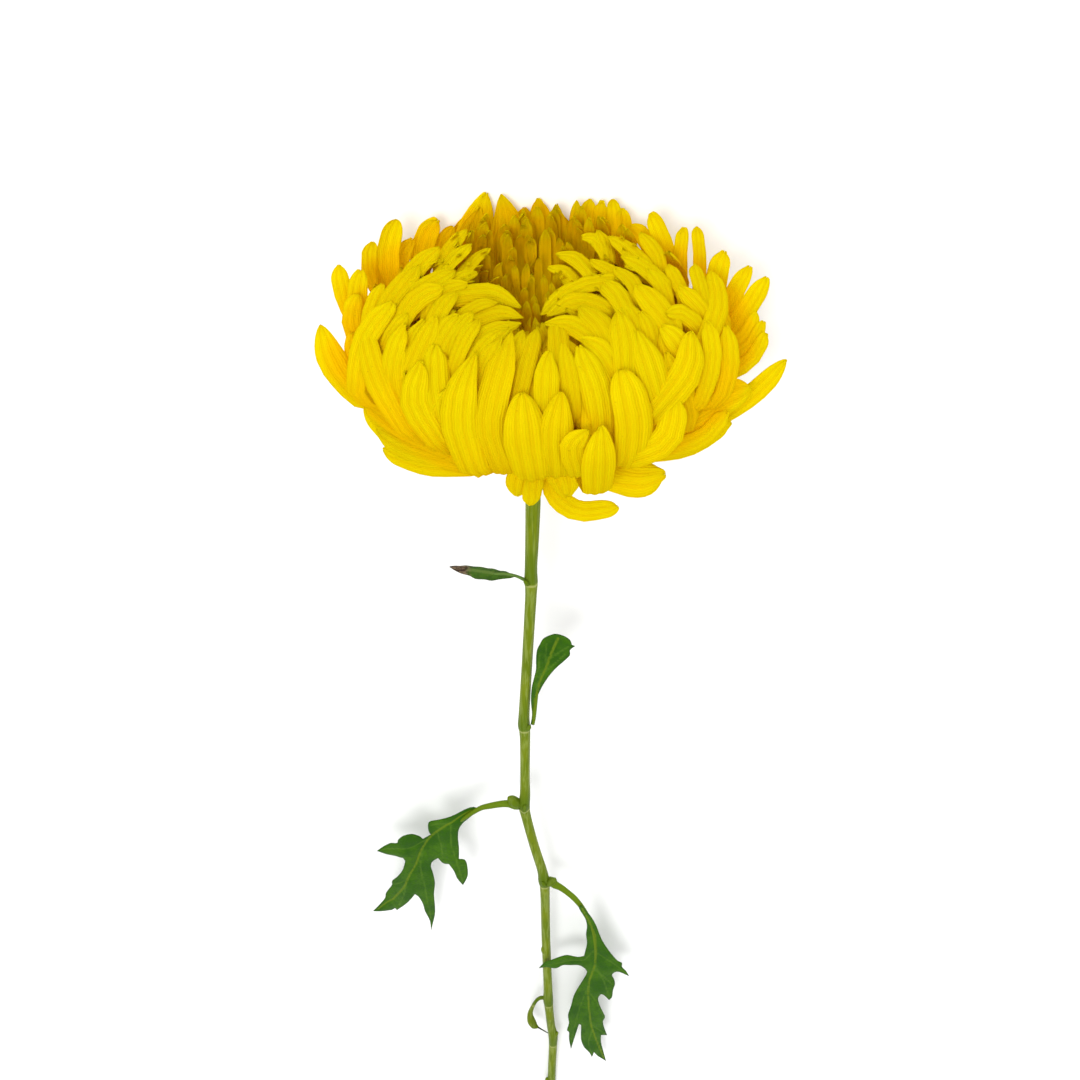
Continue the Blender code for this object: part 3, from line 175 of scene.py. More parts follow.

# Petals that are read: how deep they start and how high they end over the skin, extra bluntness of
# the narrow ones, how far they turn to the camera, and the near distance and painted light of those that
# show their inner face, which lies in shade; then their root's height and radius by the height where they
# show first
BASE_DEPTH = 2.4
BLUNTER = 0.22
NARROW = 8.5
TIP_RISE = 1.0
SKIN_FACING = 0.4
FREE_FACING = 0.8
INNER_FACE_BEYOND = -15
INNER_FACE_PAINTED_LIGHT = 0.35
ROOT_HANDLE = 0.5
BASE_HANDLE = 0.2
ROOT_LOW = [(-5, -21), (12, -13)]
ROOT_WIDE = [(-5, 11), (12, 6)]
SIGHT = (270.0, 470.0, 0.25)

# Row of petals on the underside: how many, their width, reach as a share of the rim, depth within
# the skin, height over the table at least, and where they are set out along the reach
UNDER_PETALS = 26
UNDER_SEED = 7
UNDER_SHARES = (0.3, 0.5, 0.7, 0.87, 1.0)
UNDER_WIDTH_SPREAD = (0.9, 1.1)
UNDER_TURN_SPREAD = 3
UNDER_ROLL_SPREAD = 12
# Painted light: the underside's petals are brightened a little
UNDER_PAINTED_LIGHT = 0.1
UNDER_WIDTH = 11.5
UNDER_REACH = (0.76, 0.84)
UNDER_DEPTH = 1.7
UNDER_CLEAR = 0.5
UNDER_LAYER = 0.1

# More florets, and narrower, in the far wall of the bowl: how many, in which layers, how far to
# each side in degrees, and their width as a share of the rule's; then where the heart begins
WALL_FLORETS = 150
WALL_STEP = 2.4
WALL_FROM = -0.4
WALL_BEHIND = 0.5
WALL_LAYERS = (0.42, 0.9)
WALL_TOP = 0.42
WALL_SIDE = 68.0
WALL_NARROWER = 0.6
HEART_LAYER = 0.9

# Petals are painted with amber shade from this depth under the skin, over so many millimetres, for the shade
# in the crevices between them
SUNK_FROM = 0.3
SUNK_DEPTH = 4.5

# Petals that lie on the skin, read from the photograph: pixels of their middle line from
# where it shows first to the tip, width in pixels, bluntness of the tip, lift over the skin
SKIN_PETALS = [
    ([(530, 474), (524, 440), (522, 394)], 41, 0.85, 3.2),
    ([(557, 470), (555, 435), (561, 392)], 34, 0.6, 2.6),
    ([(578, 470), (573, 448), (588, 431)], 26, 0.6, 3.4),
    ([(598, 492), (600, 462), (601, 428)], 33, 0.7, 4.2),
    ([(632, 458), (634, 420), (623, 370)], 38, 1.0, 2.6),
    ([(499, 466), (487, 425), (499, 372), (512, 328)], 31, 0.1, 1.6),
    ([(470, 468), (457, 425), (462, 385), (475, 350)], 36, 0.35, 2.2),
    ([(434, 440), (412, 402), (421, 361)], 30, 0.6, 1.2),
    ([(446, 436), (436, 392), (434, 344)], 27, 0.7, 0.2),
    ([(407, 380), (419, 350), (435, 316)], 25, 0.5, 0.4),
    ([(388, 388), (392, 352), (404, 324)], 22, 0.6, 0.4),
    ([(354, 385), (366, 335), (392, 302)], 26, 0.6, 0.6),
    ([(384, 345), (394, 328), (407, 312)], 16, 0.6, -0.6),
    ([(402, 428), (377, 382), (362, 327)], 27, 0.6, 0.0),
    ([(398, 296), (417, 263), (439, 246)], 24, 0.5, 0.4),
    ([(386, 306), (401, 284), (418, 263)], 24, 0.5, 0.8),
    ([(408, 298), (431, 281), (455, 267)], 22, 0.5, 0.2),
    ([(402, 318), (419, 295), (443, 286)], 23, 0.8, 1.0),
    ([(431, 328), (441, 306), (456, 289)], 21, 0.5, 0.4),
    ([(430, 300), (451, 286), (468, 283)], 20, 0.5, -0.2),
    ([(440, 274), (456, 255), (471, 242)], 20, 0.5, -0.2),
    ([(458, 278), (474, 259), (489, 246)], 17, 0.4, -0.8),
    ([(444, 290), (462, 275), (478, 271)], 18, 0.5, -0.6),
    ([(452, 296), (490, 292), (521, 307)], 27, 0.15, -0.6),
    ([(462, 314), (482, 303), (498, 302)], 16, 0.4, 0.4),
    ([(462, 326), (497, 311), (524, 317)], 22, 0.2, -0.2),
    ([(450, 350), (458, 328), (473, 311)], 15, 0.5, 0.4),
    ([(432, 358), (445, 330), (459, 314)], 23, 0.7, 0.6),
    ([(453, 368), (464, 340), (479, 319)], 17, 0.5, 0.4),
    ([(468, 350), (492, 330), (522, 322)], 20, 0.2, -0.4),
    ([(466, 374), (484, 346), (510, 325)], 20, 0.2, 0.0),
    ([(478, 386), (488, 358), (501, 337)], 18, 0.3, 0.6),
    ([(508, 400), (513, 360), (524, 328)], 20, 0.2, -0.8),
    ([(516, 408), (525, 368), (537, 326)], 19, 0.25, 0.4),
    ([(545, 412), (546, 380), (549, 350)], 25, 0.4, 1.0),
    ([(562, 400), (560, 358), (556, 318)], 22, 0.4, -0.2),
    ([(574, 412), (569, 375), (563, 342)], 18, 0.3, 0.4),
    ([(602, 438), (598, 392), (579, 345)], 29, 0.6, 0.6),
    ([(616, 376), (602, 350), (581, 337)], 22, 0.5, 0.2),
    ([(614, 358), (603, 326), (580, 305)], 27, 0.6, 0.4),
    ([(616, 280), (584, 284), (562, 297), (541, 313)], 24, 0.15, 0.0),
    ([(606, 308), (578, 300), (547, 314)], 24, 0.2, 0.2),
    ([(594, 338), (568, 322), (544, 323)], 24, 0.2, 0.0),
    ([(630, 318), (618, 293), (603, 279)], 24, 0.8, 0.2),
    ([(626, 376), (625, 342), (618, 309)], 28, 0.4, 1.2),
    ([(660, 402), (650, 364), (637, 328)], 31, 0.6, 1.0),
    ([(656, 412), (688, 370), (692, 330)], 31, 0.75, 1.6),
    ([(704, 396), (713, 356), (708, 321)], 19, 0.7, 0.6),
    ([(672, 326), (653, 300), (637, 282)], 27, 0.8, 0.6),
    ([(700, 326), (684, 312), (667, 313)], 20, 0.6, 0.2),
    ([(704, 312), (691, 297), (679, 285)], 20, 0.6, 0.4),
    ([(686, 354), (675, 336), (662, 325)], 24, 0.6, 0.4),
    ([(706, 310), (701, 284), (695, 263)], 17, 0.7, 0.2),
    ([(706, 340), (719, 303), (713, 270)], 23, 0.7, 0.8),
    ([(646, 266), (628, 247), (609, 235)], 22, 0.6, 0.0),
    ([(664, 284), (643, 264), (622, 255)], 22, 0.6, 0.4),
    ([(594, 278), (577, 257), (556, 252)], 22, 0.5, -0.4),
    ([(578, 290), (565, 271), (548, 266)], 19, 0.5, -0.6),
    ([(624, 278), (606, 267), (590, 259)], 17, 0.5, -0.4),
    ([(606, 254), (595, 238), (582, 237)], 18, 0.6, -0.4),
    ([(640, 300), (632, 280), (615, 267)], 17, 0.6, -0.6),
    ([(640, 345), (636, 320), (622, 300)], 20, 0.5, -1.2),
    ([(655, 345), (650, 325), (640, 310)], 20, 0.5, -1.2),
    ([(668, 300), (660, 282), (648, 268)], 16, 0.5, -1.0),
    ([(684, 296), (676, 276), (668, 262)], 16, 0.5, -1.6),
    ([(426, 322), (430, 300), (440, 272)], 16, 0.5, -1.6),
    ([(372, 345), (380, 318), (392, 286)], 20, 0.5, -1.6),
    ([(420, 420), (405, 385), (404, 345)], 26, 0.5, -1.4),
    ([(478, 440), (478, 400), (488, 360)], 22, 0.3, -1.6),
    ([(520, 440), (514, 405), (514, 365)], 22, 0.3, -1.8),
    ([(588, 440), (584, 405), (574, 368)], 20, 0.3, -1.6),
    ([(650, 440), (652, 405), (640, 370)], 26, 0.5, -1.4),
    ([(690, 420), (682, 390), (668, 352)], 26, 0.5, -1.4),
    ([(368, 330), (372, 306), (382, 282)], 20, 0.6, -0.8),
    ([(404, 368), (412, 342), (424, 318)], 22, 0.5, -1.4),
    ([(674, 372), (670, 350), (662, 330)], 20, 0.5, -1.6),
    ([(440, 262), (452, 244), (466, 228)], 18, 0.5, -1.6),
    ([(726, 390), (731, 360), (727, 325)], 22, 0.6, -1.2),
    ([(608, 262), (606, 246), (598, 228)], 18, 0.5, -1.6),
    ([(660, 262), (652, 246), (640, 232)], 18, 0.5, -1.4),
]

# Petals that stand clear of the skin, read likewise: each pixel has its distance near of the
# bloom's axis; then width in pixels and bluntness of the tip
FREE_PETALS = [
    ([(354, 392, 8), (332, 362, 8), (320, 325, 4)], 31, 0.6),
    ([(354, 322, -8), (342, 290, -10), (338, 265, -13)], 20, 0.7),
    ([(366, 335, -4), (356, 300, -6), (360, 270, -10)], 22, 0.8),
    ([(362, 352, 2), (350, 320, 0), (357, 294, -4)], 21, 0.8),
    ([(390, 308, -22), (369, 268, -25), (372, 241, -28)], 19, 0.8),
    ([(392, 300, -24), (386, 255, -28), (396, 219, -34)], 26, 0.8),
    ([(404, 290, -30), (400, 262, -32), (412, 238, -36)], 19, 0.7),
    ([(420, 272, -36), (423, 240, -38), (437, 219, -42)], 25, 0.8),
    ([(440, 264, -38), (444, 242, -40), (452, 226, -43)], 19, 0.7),
    ([(462, 280, -36), (460, 242, -44), (471, 211, -48)], 25, 0.4),
    ([(471, 285, -36), (469, 240, -43), (478, 206, -48)], 32, 0.5),
    ([(478, 285, -36), (475, 235, -44), (486, 192, -50)], 46, 0.5),
    ([(507, 285, -36), (510, 235, -44), (503, 193, -50)], 44, 0.5),
    ([(525, 285, -36), (525, 240, -44), (524, 207, -49)], 34, 0.8),
    ([(540, 285, -36), (541, 235, -44), (539, 198, -50)], 28, 0.6),
    ([(560, 285, -36), (562, 245, -42), (562, 217, -48)], 36, 0.9),
    ([(582, 285, -34), (578, 250, -42), (572, 222, -47)], 23, 0.8),
    ([(598, 270, -34), (585, 232, -42), (590, 199, -48)], 20, 0.8),
    ([(606, 270, -34), (600, 232, -42), (602, 200, -47)], 18, 0.8),
    ([(618, 270, -34), (617, 235, -40), (613, 199, -46)], 18, 0.8),
    ([(632, 270, -32), (628, 240, -38), (622, 208, -44)], 17, 0.8),
    ([(656, 264, -30), (647, 240, -34), (631, 226, -38)], 19, 0.9),
    ([(676, 304, -22), (667, 252, -28), (651, 213, -36)], 22, 0.8),
    ([(680, 304, -20), (681, 255, -26), (684, 227, -30)], 16, 0.8),
    ([(698, 304, -20), (700, 255, -26), (697, 226, -30)], 15, 0.9),
    ([(712, 315, -14), (717, 276, -18), (725, 251, -22)], 24, 0.8),
    ([(718, 332, -10), (735, 293, -14), (750, 266, -18)], 20, 0.6),
    ([(722, 348, -6), (748, 308, -10), (767, 277, -14)], 23, 0.6),
    ([(716, 356, 0), (746, 336, -2), (757, 312, -6)], 15, 0.7),
    ([(716, 370, 2), (750, 347, 0), (764, 321, -4)], 15, 0.7),
    ([(712, 382, 4), (750, 362, 3), (767, 334, 0)], 17, 0.7),
    ([(718, 418, 8), (756, 391, 6), (787, 360, 2)], 24, 0.35),
    ([(668, 432, 26), (715, 404, 20), (754, 388, 13)], 36, 0.9),
    ([(645, 455, 36), (700, 440, 28), (727, 411, 22)], 20, 0.8),
    ([(630, 456, 36), (688, 448, 28), (732, 422, 18)], 20, 0.6),
    ([(636, 456, 40), (668, 440, 38), (677, 399, 31)], 29, 0.9),
    ([(460, 460, 36), (412, 448, 28), (374, 430, 18)], 32, 0.8),
    ([(474, 466, 37), (424, 464, 31), (381, 450, 21)], 27, 0.8),
    ([(446, 448, 34), (398, 424, 24), (361, 397, 12)], 28, 0.8),
    ([(432, 434, 32), (386, 404, 20), (359, 370, 9)], 27, 0.8),
    ([(384, 400, 14), (358, 372, 8), (352, 334, 4)], 22, 0.8),
    ([(404, 448, 26), (380, 424, 16), (364, 404, 10)], 24, 0.6),
    ([(598, 472, 30), (636, 480, 34), (666, 476, 34)], 42, 1.0),
    ([(548, 470, 26), (556, 496, 29), (580, 512, 30), (616, 508, 33)], 24, 1.0),
    ([(556, 462, 26), (563, 480, 30), (567, 499, 31)], 34, 1.0),
    ([(526, 462, 26), (520, 478, 30), (517, 499, 31)], 26, 1.0),
    ([(536, 464, 26), (533, 486, 31), (531, 508, 32)], 21, 1.0),
]

# Stem: pixels of its middle line with the distance far of the bloom's middle, and the radius; rows
# of the picture that have a ring; then its cut end, its ribs, and its buds from foot to tip, with
# their size and shape
STEM = [
    (533, 470, 5.4, 2.35), (533, 503, 4.4, 2.3), (532, 541, 2.8, 2.1), (531, 567, 1.6, 1.95),
    (531, 582, 1.1, 2.15), (531, 594, 0.7, 1.85), (528, 647, 0.0, 1.75), (525, 698, 0.0, 1.8),
    (524, 716, 0.0, 1.9), (524, 726, 0.0, 2.1), (525, 737, 0.0, 1.8), (525, 774, 0.0, 1.7),
    (525, 795, 0.0, 1.9), (524, 805, 0.0, 2.15), (526, 816, 0.0, 1.85), (534, 845, 0.3, 1.8),
    (542, 870, 0.6, 1.9), (544, 881, 0.6, 2.2), (545, 892, 0.5, 1.85), (546, 940, 0.0, 1.75),
    (548, 988, -0.5, 1.85), (548, 998, -0.6, 2.15), (549, 1008, -0.5, 1.85), (551, 1025, 0.0, 1.8),
    (553, 1035, 0.0, 2.05), (553, 1045, 0.0, 1.8), (552, 1065, 0.0, 1.75),
]
STEM_RINGS = (585, 729, 808, 886, 1003, 1044)
STEM_END_RIGHT = 5.4
STALK_FOOT = 0.8
STEM_SIDES = 30
STEM_STEP = 1.6
STEM_RIBS = 6
STEM_RIB_HEIGHT = 0.035
BUDS = [
    (((519, 805, -0.2), (508, 797, -1.0)), 2.1), (((524, 812, -1.4), (525, 805, -2.4)), 1.1),
    (((547, 884, -0.4), (556, 879, -0.9)), 1.7), (((545, 886, -1.2), (542, 882, -1.9)), 1.0),
    (((553, 1036, -0.4), (558, 1032, -0.6)), 1.25), (((545, 954, -0.6), (542, 947, -1.2)), 1.0),
    (((550, 1004, -1.4), (548, 1000, -2.2)), 1.0), (((528, 585, -1.0), (524, 580, -1.2)), 0.8),
    (((527, 730, -1.2), (530, 725, -1.7)), 1.0), (((548, 1081, -0.2), (547, 1078, -0.6)), 1.2),
]
BUD_SHAPE = [(0.0, 0.75), (0.3, 1.0), (0.62, 0.9), (0.85, 0.55), (1.0, 0.12)]

# Stalks as rows like the stem's; where three numbers come first, they are the row of the stem's
# swelling that the stalk starts beside, the side of the stem and the stalk's radius there
LEAF_1_STALK = [(529, 582, 0.8, 0.8), (523, 579, 0.5, 0.6), (516, 576, 0.1, 0.5), (506, 574, -0.4, 0.5),
                (493, 574, -0.5, 0.35)]
LEAF_2_STALK = [(533, 724, -0.9, 0.6), (534, 718, -1.1, 0.7), (535, 709, -1.2, 0.7), (537, 691, -1.1, 0.6)]
LEAF_3_STALK = (805, -1, 2.0), [(510, 804, -0.2, 1.6), (502, 804, -0.4, 1.4), (490, 806, -0.7, 1.25),
                                (479, 809, -1.0, 1.0), (461, 820, -1.3, 0.8), (448, 830, -0.9, 0.4)]
LEAF_4_STALK = (881, 1, 2.0), [(554, 884, 0.0, 1.75), (560, 887, -0.5, 1.4), (567, 892, -1.4, 1.25),
                               (575, 899, -2.2, 1.2), (583, 909, -3.0, 1.05), (590, 922, -3.5, 0.85),
                               (595, 944, -4.0, 0.7), (595, 964, -4.1, 0.4)]
SHOOT = (998, -1, 0.85), [(536, 1001, -0.8, 0.75), (532, 1008, -1.0, 0.85), (530, 1014, -1.1, 1.2),
                          (531, 1020, -1.2, 1.8), (534, 1025, -1.5, 1.55), (538, 1027, -2.0, 0.6)]
SHOOT_TAIL = [(536, 1026, -1.7, 0.5), (541, 1029, -2.4, 0.3), (548, 1033, -2.9, 0.22)]

GREEN_GLOSS = 0.08

# Leaf outlines, midribs and side veins as pixels of the photograph
LEAF_2_EDGE = [
    (530, 727), (532, 716), (531, 703), (531, 695), (532, 686), (534, 678), (536, 669), (536, 659),
    (537, 650), (540, 644), (543, 639), (548, 636), (557, 634), (564, 636), (570, 640), (572, 645),
    (575, 646), (570, 650), (570, 655), (564, 661), (556, 668), (549, 676), (543, 685), (539, 693),
    (535, 703), (533, 711), (533, 720),
]
LEAF_2_VEINS = [
    [(531, 720), (535, 700), (540, 681), (547, 665), (552, 651), (558, 638)],
    [(541, 679), (539, 665), (540, 652)], [(546, 667), (545, 655), (547, 643)],
    [(544, 673), (554, 664), (565, 654)], [(549, 659), (559, 652), (569, 646)],
    [(537, 690), (535, 680), (536, 670)],
]
LEAF_3_EDGE = [
    (474, 807), (460, 812), (446, 818), (437, 820), (429, 822), (428, 827), (429, 832), (431, 835),
    (423, 839), (419, 836), (411, 834), (403, 836), (398, 840), (397, 843), (391, 843), (386, 845),
    (381, 848), (377, 851), (386, 854), (396, 856), (403, 858), (405, 861), (404, 866), (402, 871),
    (397, 877), (392, 881), (392, 885), (386, 893), (385, 898), (380, 904), (373, 911), (383, 911),
    (391, 910), (395, 908), (397, 910), (403, 906), (409, 901), (415, 894), (419, 897), (423, 904),
    (425, 911), (430, 921), (431, 931), (433, 923), (435, 914), (435, 906), (434, 894), (435, 883),
    (433, 873), (431, 867), (432, 862), (438, 858), (443, 863), (449, 864), (454, 871), (457, 878),
    (463, 885), (466, 880), (468, 874), (467, 864), (465, 860), (462, 859), (459, 859), (459, 848),
    (458, 837), (459, 829), (463, 823), (469, 818), (479, 811),
]
LEAF_3_VEINS = [
    [(479, 809), (460, 816), (446, 825), (437, 831), (429, 838), (421, 850), (416, 864), (410, 874),
     (404, 887), (393, 899), (378, 909)], [(451, 822), (451, 844), (457, 862), (463, 882)],
    [(428, 839), (414, 846), (397, 848), (381, 850)], [(423, 848), (420, 866), (425, 887), (431, 918)],
    [(449, 823), (439, 823), (431, 825)], [(410, 875), (401, 882), (394, 884)],
    [(406, 884), (404, 894), (399, 905)], [(437, 831), (441, 844), (443, 858)],
]
LEAF_4_EDGE = [
    (581, 905), (589, 914), (596, 925), (601, 938), (607, 948), (614, 957), (618, 961), (622, 963),
    (622, 967), (626, 971), (629, 976), (620, 972), (615, 972), (612, 975), (614, 979), (615, 984),
    (613, 990), (612, 997), (609, 1000), (604, 995), (601, 994), (598, 998), (600, 1006), (603, 1012),
    (605, 1017), (603, 1021), (604, 1027), (607, 1035), (601, 1035), (601, 1042), (603, 1050), (606, 1061),
    (598, 1056), (594, 1052), (592, 1057), (589, 1052), (584, 1047), (581, 1039), (581, 1025), (579, 1024),
    (576, 1033), (571, 1049), (569, 1039), (569, 1032), (567, 1030), (569, 1023), (568, 1015), (571, 1006),
    (574, 995), (581, 983), (587, 972), (583, 967), (578, 965), (571, 965), (563, 965), (557, 968),
    (552, 968), (547, 967), (539, 968), (545, 962), (551, 960), (559, 957), (567, 955), (578, 957),
    (584, 956), (585, 952), (587, 943), (586, 934), (587, 926), (585, 918), (579, 908),
]
LEAF_4_VEINS = [
    [(582, 908), (590, 923), (595, 935), (596, 950), (595, 965), (589, 981), (588, 994), (589, 1009),
     (591, 1025), (596, 1039), (604, 1058)], [(596, 948), (584, 960), (570, 960), (551, 964), (541, 967)],
    [(598, 953), (612, 962), (627, 974)], [(595, 964), (604, 981), (609, 996)],
    [(588, 986), (579, 1009), (571, 1040)], [(591, 1023), (600, 1030), (606, 1035)],
    [(588, 990), (597, 1002), (604, 1016)], [(592, 1030), (588, 1042), (592, 1055)],
    [(593, 968), (603, 975), (613, 985)],
]

# Core that the petals grow from: its depth under the skin at the top, the wall of the bowl, the
# underside, the sides and the far side; radius and height of its flat seat on the calyx, and where
# the underside has left the seat
CORE_TOP_DEPTH = 8.0
CORE_WALL_DEPTH = 15.0
CORE_UNDER_DEPTH = 3.1
CORE_SIDE_DEPTH = 13.0
CORE_FAR_DEPTH = 24.0
CORE_SEAT = (12.5, -23.5)
CORE_SLOPE_END = 22.0
CORE_TURNS = 60
CORE_UNDER_SHARES = (0.0, 0.2, 0.4, 0.6, 0.78, 0.92, 1.0)
CORE_TOP_SHARES = (0.95, 0.87, 0.75, 0.6, 0.45, 0.3, 0.15)

# Calyx: its cup as radius and height, and its bracts, row by row: how many, their root, bulge and tip
# as radius and height, their width and the turn of the first
CALYX_CUP = [(0, -35), (2.5, -35), (3.4, -33.2), (7.4, -30.6), (10.6, -27.4), (11.4, -23.85), (0, -23.85)]
BRACT_ROWS = [
    (11, (4.5, -33.2), (9.6, -32.6), (12.2, -28.6), 4.6, 0.0),
    (12, (6.0, -32.2), (10.8, -31.4), (12.9, -26.4), 5.0, 15.0),
    (13, (7.4, -31.0), (11.8, -29.6), (13.1, -24.9), 5.4, 4.0),
]
BRACT_SEED = 5
BRACT_OUTLINE = [(0, 0.8), (0.45, 1.0), (0.8, 0.75), (1, 0.16)]
BRACT_CUP = 0.16
BRACT_KEEL = 0.18
BRACT_THICK = (0.12, 0.55)
BRACT_GRID = (9, 7)

# Dry leaf, seen edge-on: outline and veins by right and far of the bloom's middle
LEAF_1_EDGE = [
    (-7.6, -0.5), (-9.5, 0.8), (-11.2, 1.9), (-13.0, 1.7), (-15.0, 2.7), (-17.0, 2.4), (-19.0, 3.0),
    (-21.4, 2.3), (-23.6, 2.4), (-25.6, 1.2), (-27.6, 0.6), (-29.0, -0.6), (-27.2, -1.6), (-25.0, -2.4),
    (-22.6, -2.7), (-20.6, -3.5), (-17.6, -3.3), (-15.4, -3.4), (-12.8, -2.5), (-9.6, -1.5),
]
LEAF_1_VEINS = [
    [(-7.6, -0.5), (-17.0, -0.4), (-28.6, -0.6)], [(-11, -0.5), (-15, 2.4)], [(-16, -0.4), (-20, 2.4)],
    [(-21, -0.4), (-24, 1.6)], [(-12, -0.5), (-16, -3.0)], [(-17, -0.5), (-21, -3.0)],
]
LEAF_SEED = 3

# Blades: size of their grid and thickness; how far they swell between the veins, over what distance
# from a vein and from the edge; depth and width of the groove on the midrib and of the keel under it
GRAIN = 0.8
LEAF_THICK = 0.4
QUILT = 0.38
QUILT_FROM_VEIN = 1.9
QUILT_FROM_EDGE = 2.5
GROOVE = 0.25
GROOVE_WIDE = 0.55
KEEL = 0.35
KEEL_WIDE = 0.6
THIN_EDGE = 1.2
SHARP_TURN = 62.0

# Studio: half the floor's side in metres, what the lights aim at, and each light's name, place, size
# and power
FLOOR_HALF = 4.0
WORLD_LIGHT = 0.95
AIM = Vector((0, 0.12, 0.04))
LAMPS = (("key", (-0.25, 0.5, 1.2), 0.4, 7.0), ("back", (0.1, 1.2, 0.8), 0.8, 3.0))


def mix(a, b, t):
    return a + (b - a) * t


def outward(turn):
    angle = math.radians(turn)
    return RIGHT * math.sin(angle) - HEAD_FAR * math.cos(angle)


def head_point(right, near, up):
    return CENTRE + RIGHT * right - HEAD_FAR * near + HEAD_UP * up


def plant_point(right, below, far):
    return CENTRE + RIGHT * right - UP * below + FAR * far


def photo_camera():
    """Eye, view direction, up and right of the photograph's camera, and its focal length in pixels."""
    elevation = math.radians(EYE_ELEVATION)
    towards_eye = UP * math.sin(elevation) - FAR * math.cos(elevation)
    eye = CENTRE + towards_eye * EYE_DISTANCE
    above_middle = PHOTO_SIZE / 2 - BLOOM_PIXEL
    tilt = math.atan(above_middle * MM_PER_PIXEL / EYE_DISTANCE)
    for _ in range(30):
        focal = EYE_DISTANCE * math.cos(tilt) / MM_PER_PIXEL
        tilt = math.atan(above_middle / focal)
    pitch = math.atan2(-towards_eye.z, -towards_eye.y) - tilt
    view = Vector((0.0, math.cos(pitch), math.sin(pitch)))
    up = Vector((0.0, -math.sin(pitch), math.cos(pitch)))
    if up.y < 0:
        up = -up
    return eye, view, up, view.cross(up), focal


PHOTO = photo_camera()


def from_photo(x, y, normal, height):
    """Where the sight line of a pixel meets the plane that lies at a height above CENTRE along normal."""
    eye, view, up, right, focal = PHOTO
    ray = view + right * ((x - PHOTO_SIZE / 2) / focal) - up * ((y - PHOTO_SIZE / 2) / focal)
    reach = (height - (eye - CENTRE).dot(normal)) / ray.dot(normal)
    return eye + ray * reach


def unit(v):
    return v / np.maximum(np.linalg.norm(v, axis=-1, keepdims=True), 1e-9)


def curve(keys, t):
    return np.interp(t, *zip(*keys))


def jitter(rnd, most):
    return rnd.uniform(-most, most)


def soft_step(a, b, t):
    k = np.clip((t - a) / (b - a), 0, 1)
    return k * k * (3 - 2 * k)


def by_side(table, share, c):
    """Blend of the near, side and far curves, for the cosine of the turn."""
    near = np.maximum(c, 0.0) ** 1.5
    far = np.maximum(-c, 0.0) ** 1.5
    value = {side: curve(keys, share) for side, keys in table.items()}
    return value["near"] * near + value["far"] * far + value["side"] * (1 - near - far)


def in_head(points):
    """Right, near and up of places given in the plant's millimetres."""
    rel = np.asarray(points, float) - np.array(CENTRE)
    return rel @ np.array(RIGHT), -(rel @ np.array(HEAD_FAR)), rel @ np.array(HEAD_UP)


def outside_skin(points):
    """Distance outside the bloom's skin; negative inside."""
    right, near, up = in_head(points)
    radius = np.hypot(right, near)
    c = near / np.maximum(radius, 0.001)
    rim = by_side(RIM, 0.0, c)
    share = np.minimum(radius / rim, 1.0)
    top, under = by_side(SKIN_TOP, share, c), by_side(SKIN_UNDER, share, c)
    return np.maximum(np.maximum(up - top, under - up), radius - rim)


def on_skin(x, y):
    """Where a pixel's sight line first meets the skin, or passes it closest, and the way to the eye."""
    eye = np.array(PHOTO[0])
    ray = unit(np.array(from_photo(x, y, HEAD_UP, 0.0)) - eye)
    reach = np.arange(*SIGHT)
    line = eye + ray * reach[:, None]
    gap = outside_skin(line)
    index = np.argmax(gap < 0) if (gap < 0).any() else np.argmin(gap)
    return line[index], -ray


def back_of(place, along):
    """Outward side of a petal that runs along a direction: square to it, and as round as the bloom."""
    right, near, up = in_head(place)
    wide, deep, tall, middle = ROUNDNESS
    normal = unit((right / wide ** 2)[..., None] * np.array(RIGHT)
                  - (near / deep ** 2)[..., None] * np.array(HEAD_FAR)
                  + ((up - middle) / tall ** 2)[..., None] * np.array(HEAD_UP))
    return unit(normal - along * (normal * along).sum(-1, keepdims=True))


def bezier(points, t):
    """Places along a cubic Bezier of four points."""
    a, b, c, d = [np.array(tuple(p)) for p in points]
    t = np.asarray(t)[:, None]
    s = 1 - t
    return a * s ** 3 + b * 3 * s * s * t + c * 3 * s * t * t + d * t ** 3


def spaced(line, count):
    """A polyline's points again, at even distances."""
    reach = np.concatenate([[0], np.cumsum(np.linalg.norm(np.diff(line, axis=0), axis=1))])
    want = np.linspace(0, reach[-1], count)
    return np.stack([np.interp(want, reach, line[:, k]) for k in range(3)], axis=1)


def rooted(spots):
    """Middle line of a petal through its shown places and down to its root, and the share that is hidden."""
    spots = np.array(spots)
    right, near, up = in_head(spots[0])
    low, out = float(curve(ROOT_LOW, up)), float(curve(ROOT_WIDE, up))
    turn = math.degrees(math.atan2(right, near))
    root = CENTRE + outward(turn) * out + HEAD_UP * low
    reach = np.linalg.norm(np.array(root) - spots[0])
    tangent = Vector(unit(spots[1] - spots[0]))
    base = Vector(spots[0])
    handles = (root + outward(turn) * reach * ROOT_HANDLE, base - tangent * reach * BASE_HANDLE)
    hidden = bezier([root, *handles, base], np.linspace(0, 1, 12))
    rows = [tuple(s) for s in [hidden[-3]] + list(spots)]
    shown = smooth_path(rows, 1.5)
    start = np.argmin(np.linalg.norm(shown - spots[0], axis=1))
    line = np.concatenate([hidden[:-1], shown[start:]])
    reach = np.concatenate([[0], np.cumsum(np.linalg.norm(np.diff(line, axis=0), axis=1))])
    return spaced(line, LINE_POINTS), reach[len(hidden) - 1] / reach[-1]


def petal_form(line, hidden, width, blunt, **more):
    """What petal() needs to know of one petal."""
    plain = {"line": line, "hidden": hidden, "width": width, "blunt": blunt}
    return plain | {"facing": 0.0, "roll": 0.0, "layer": 0.0, "gold": 0.0} | more


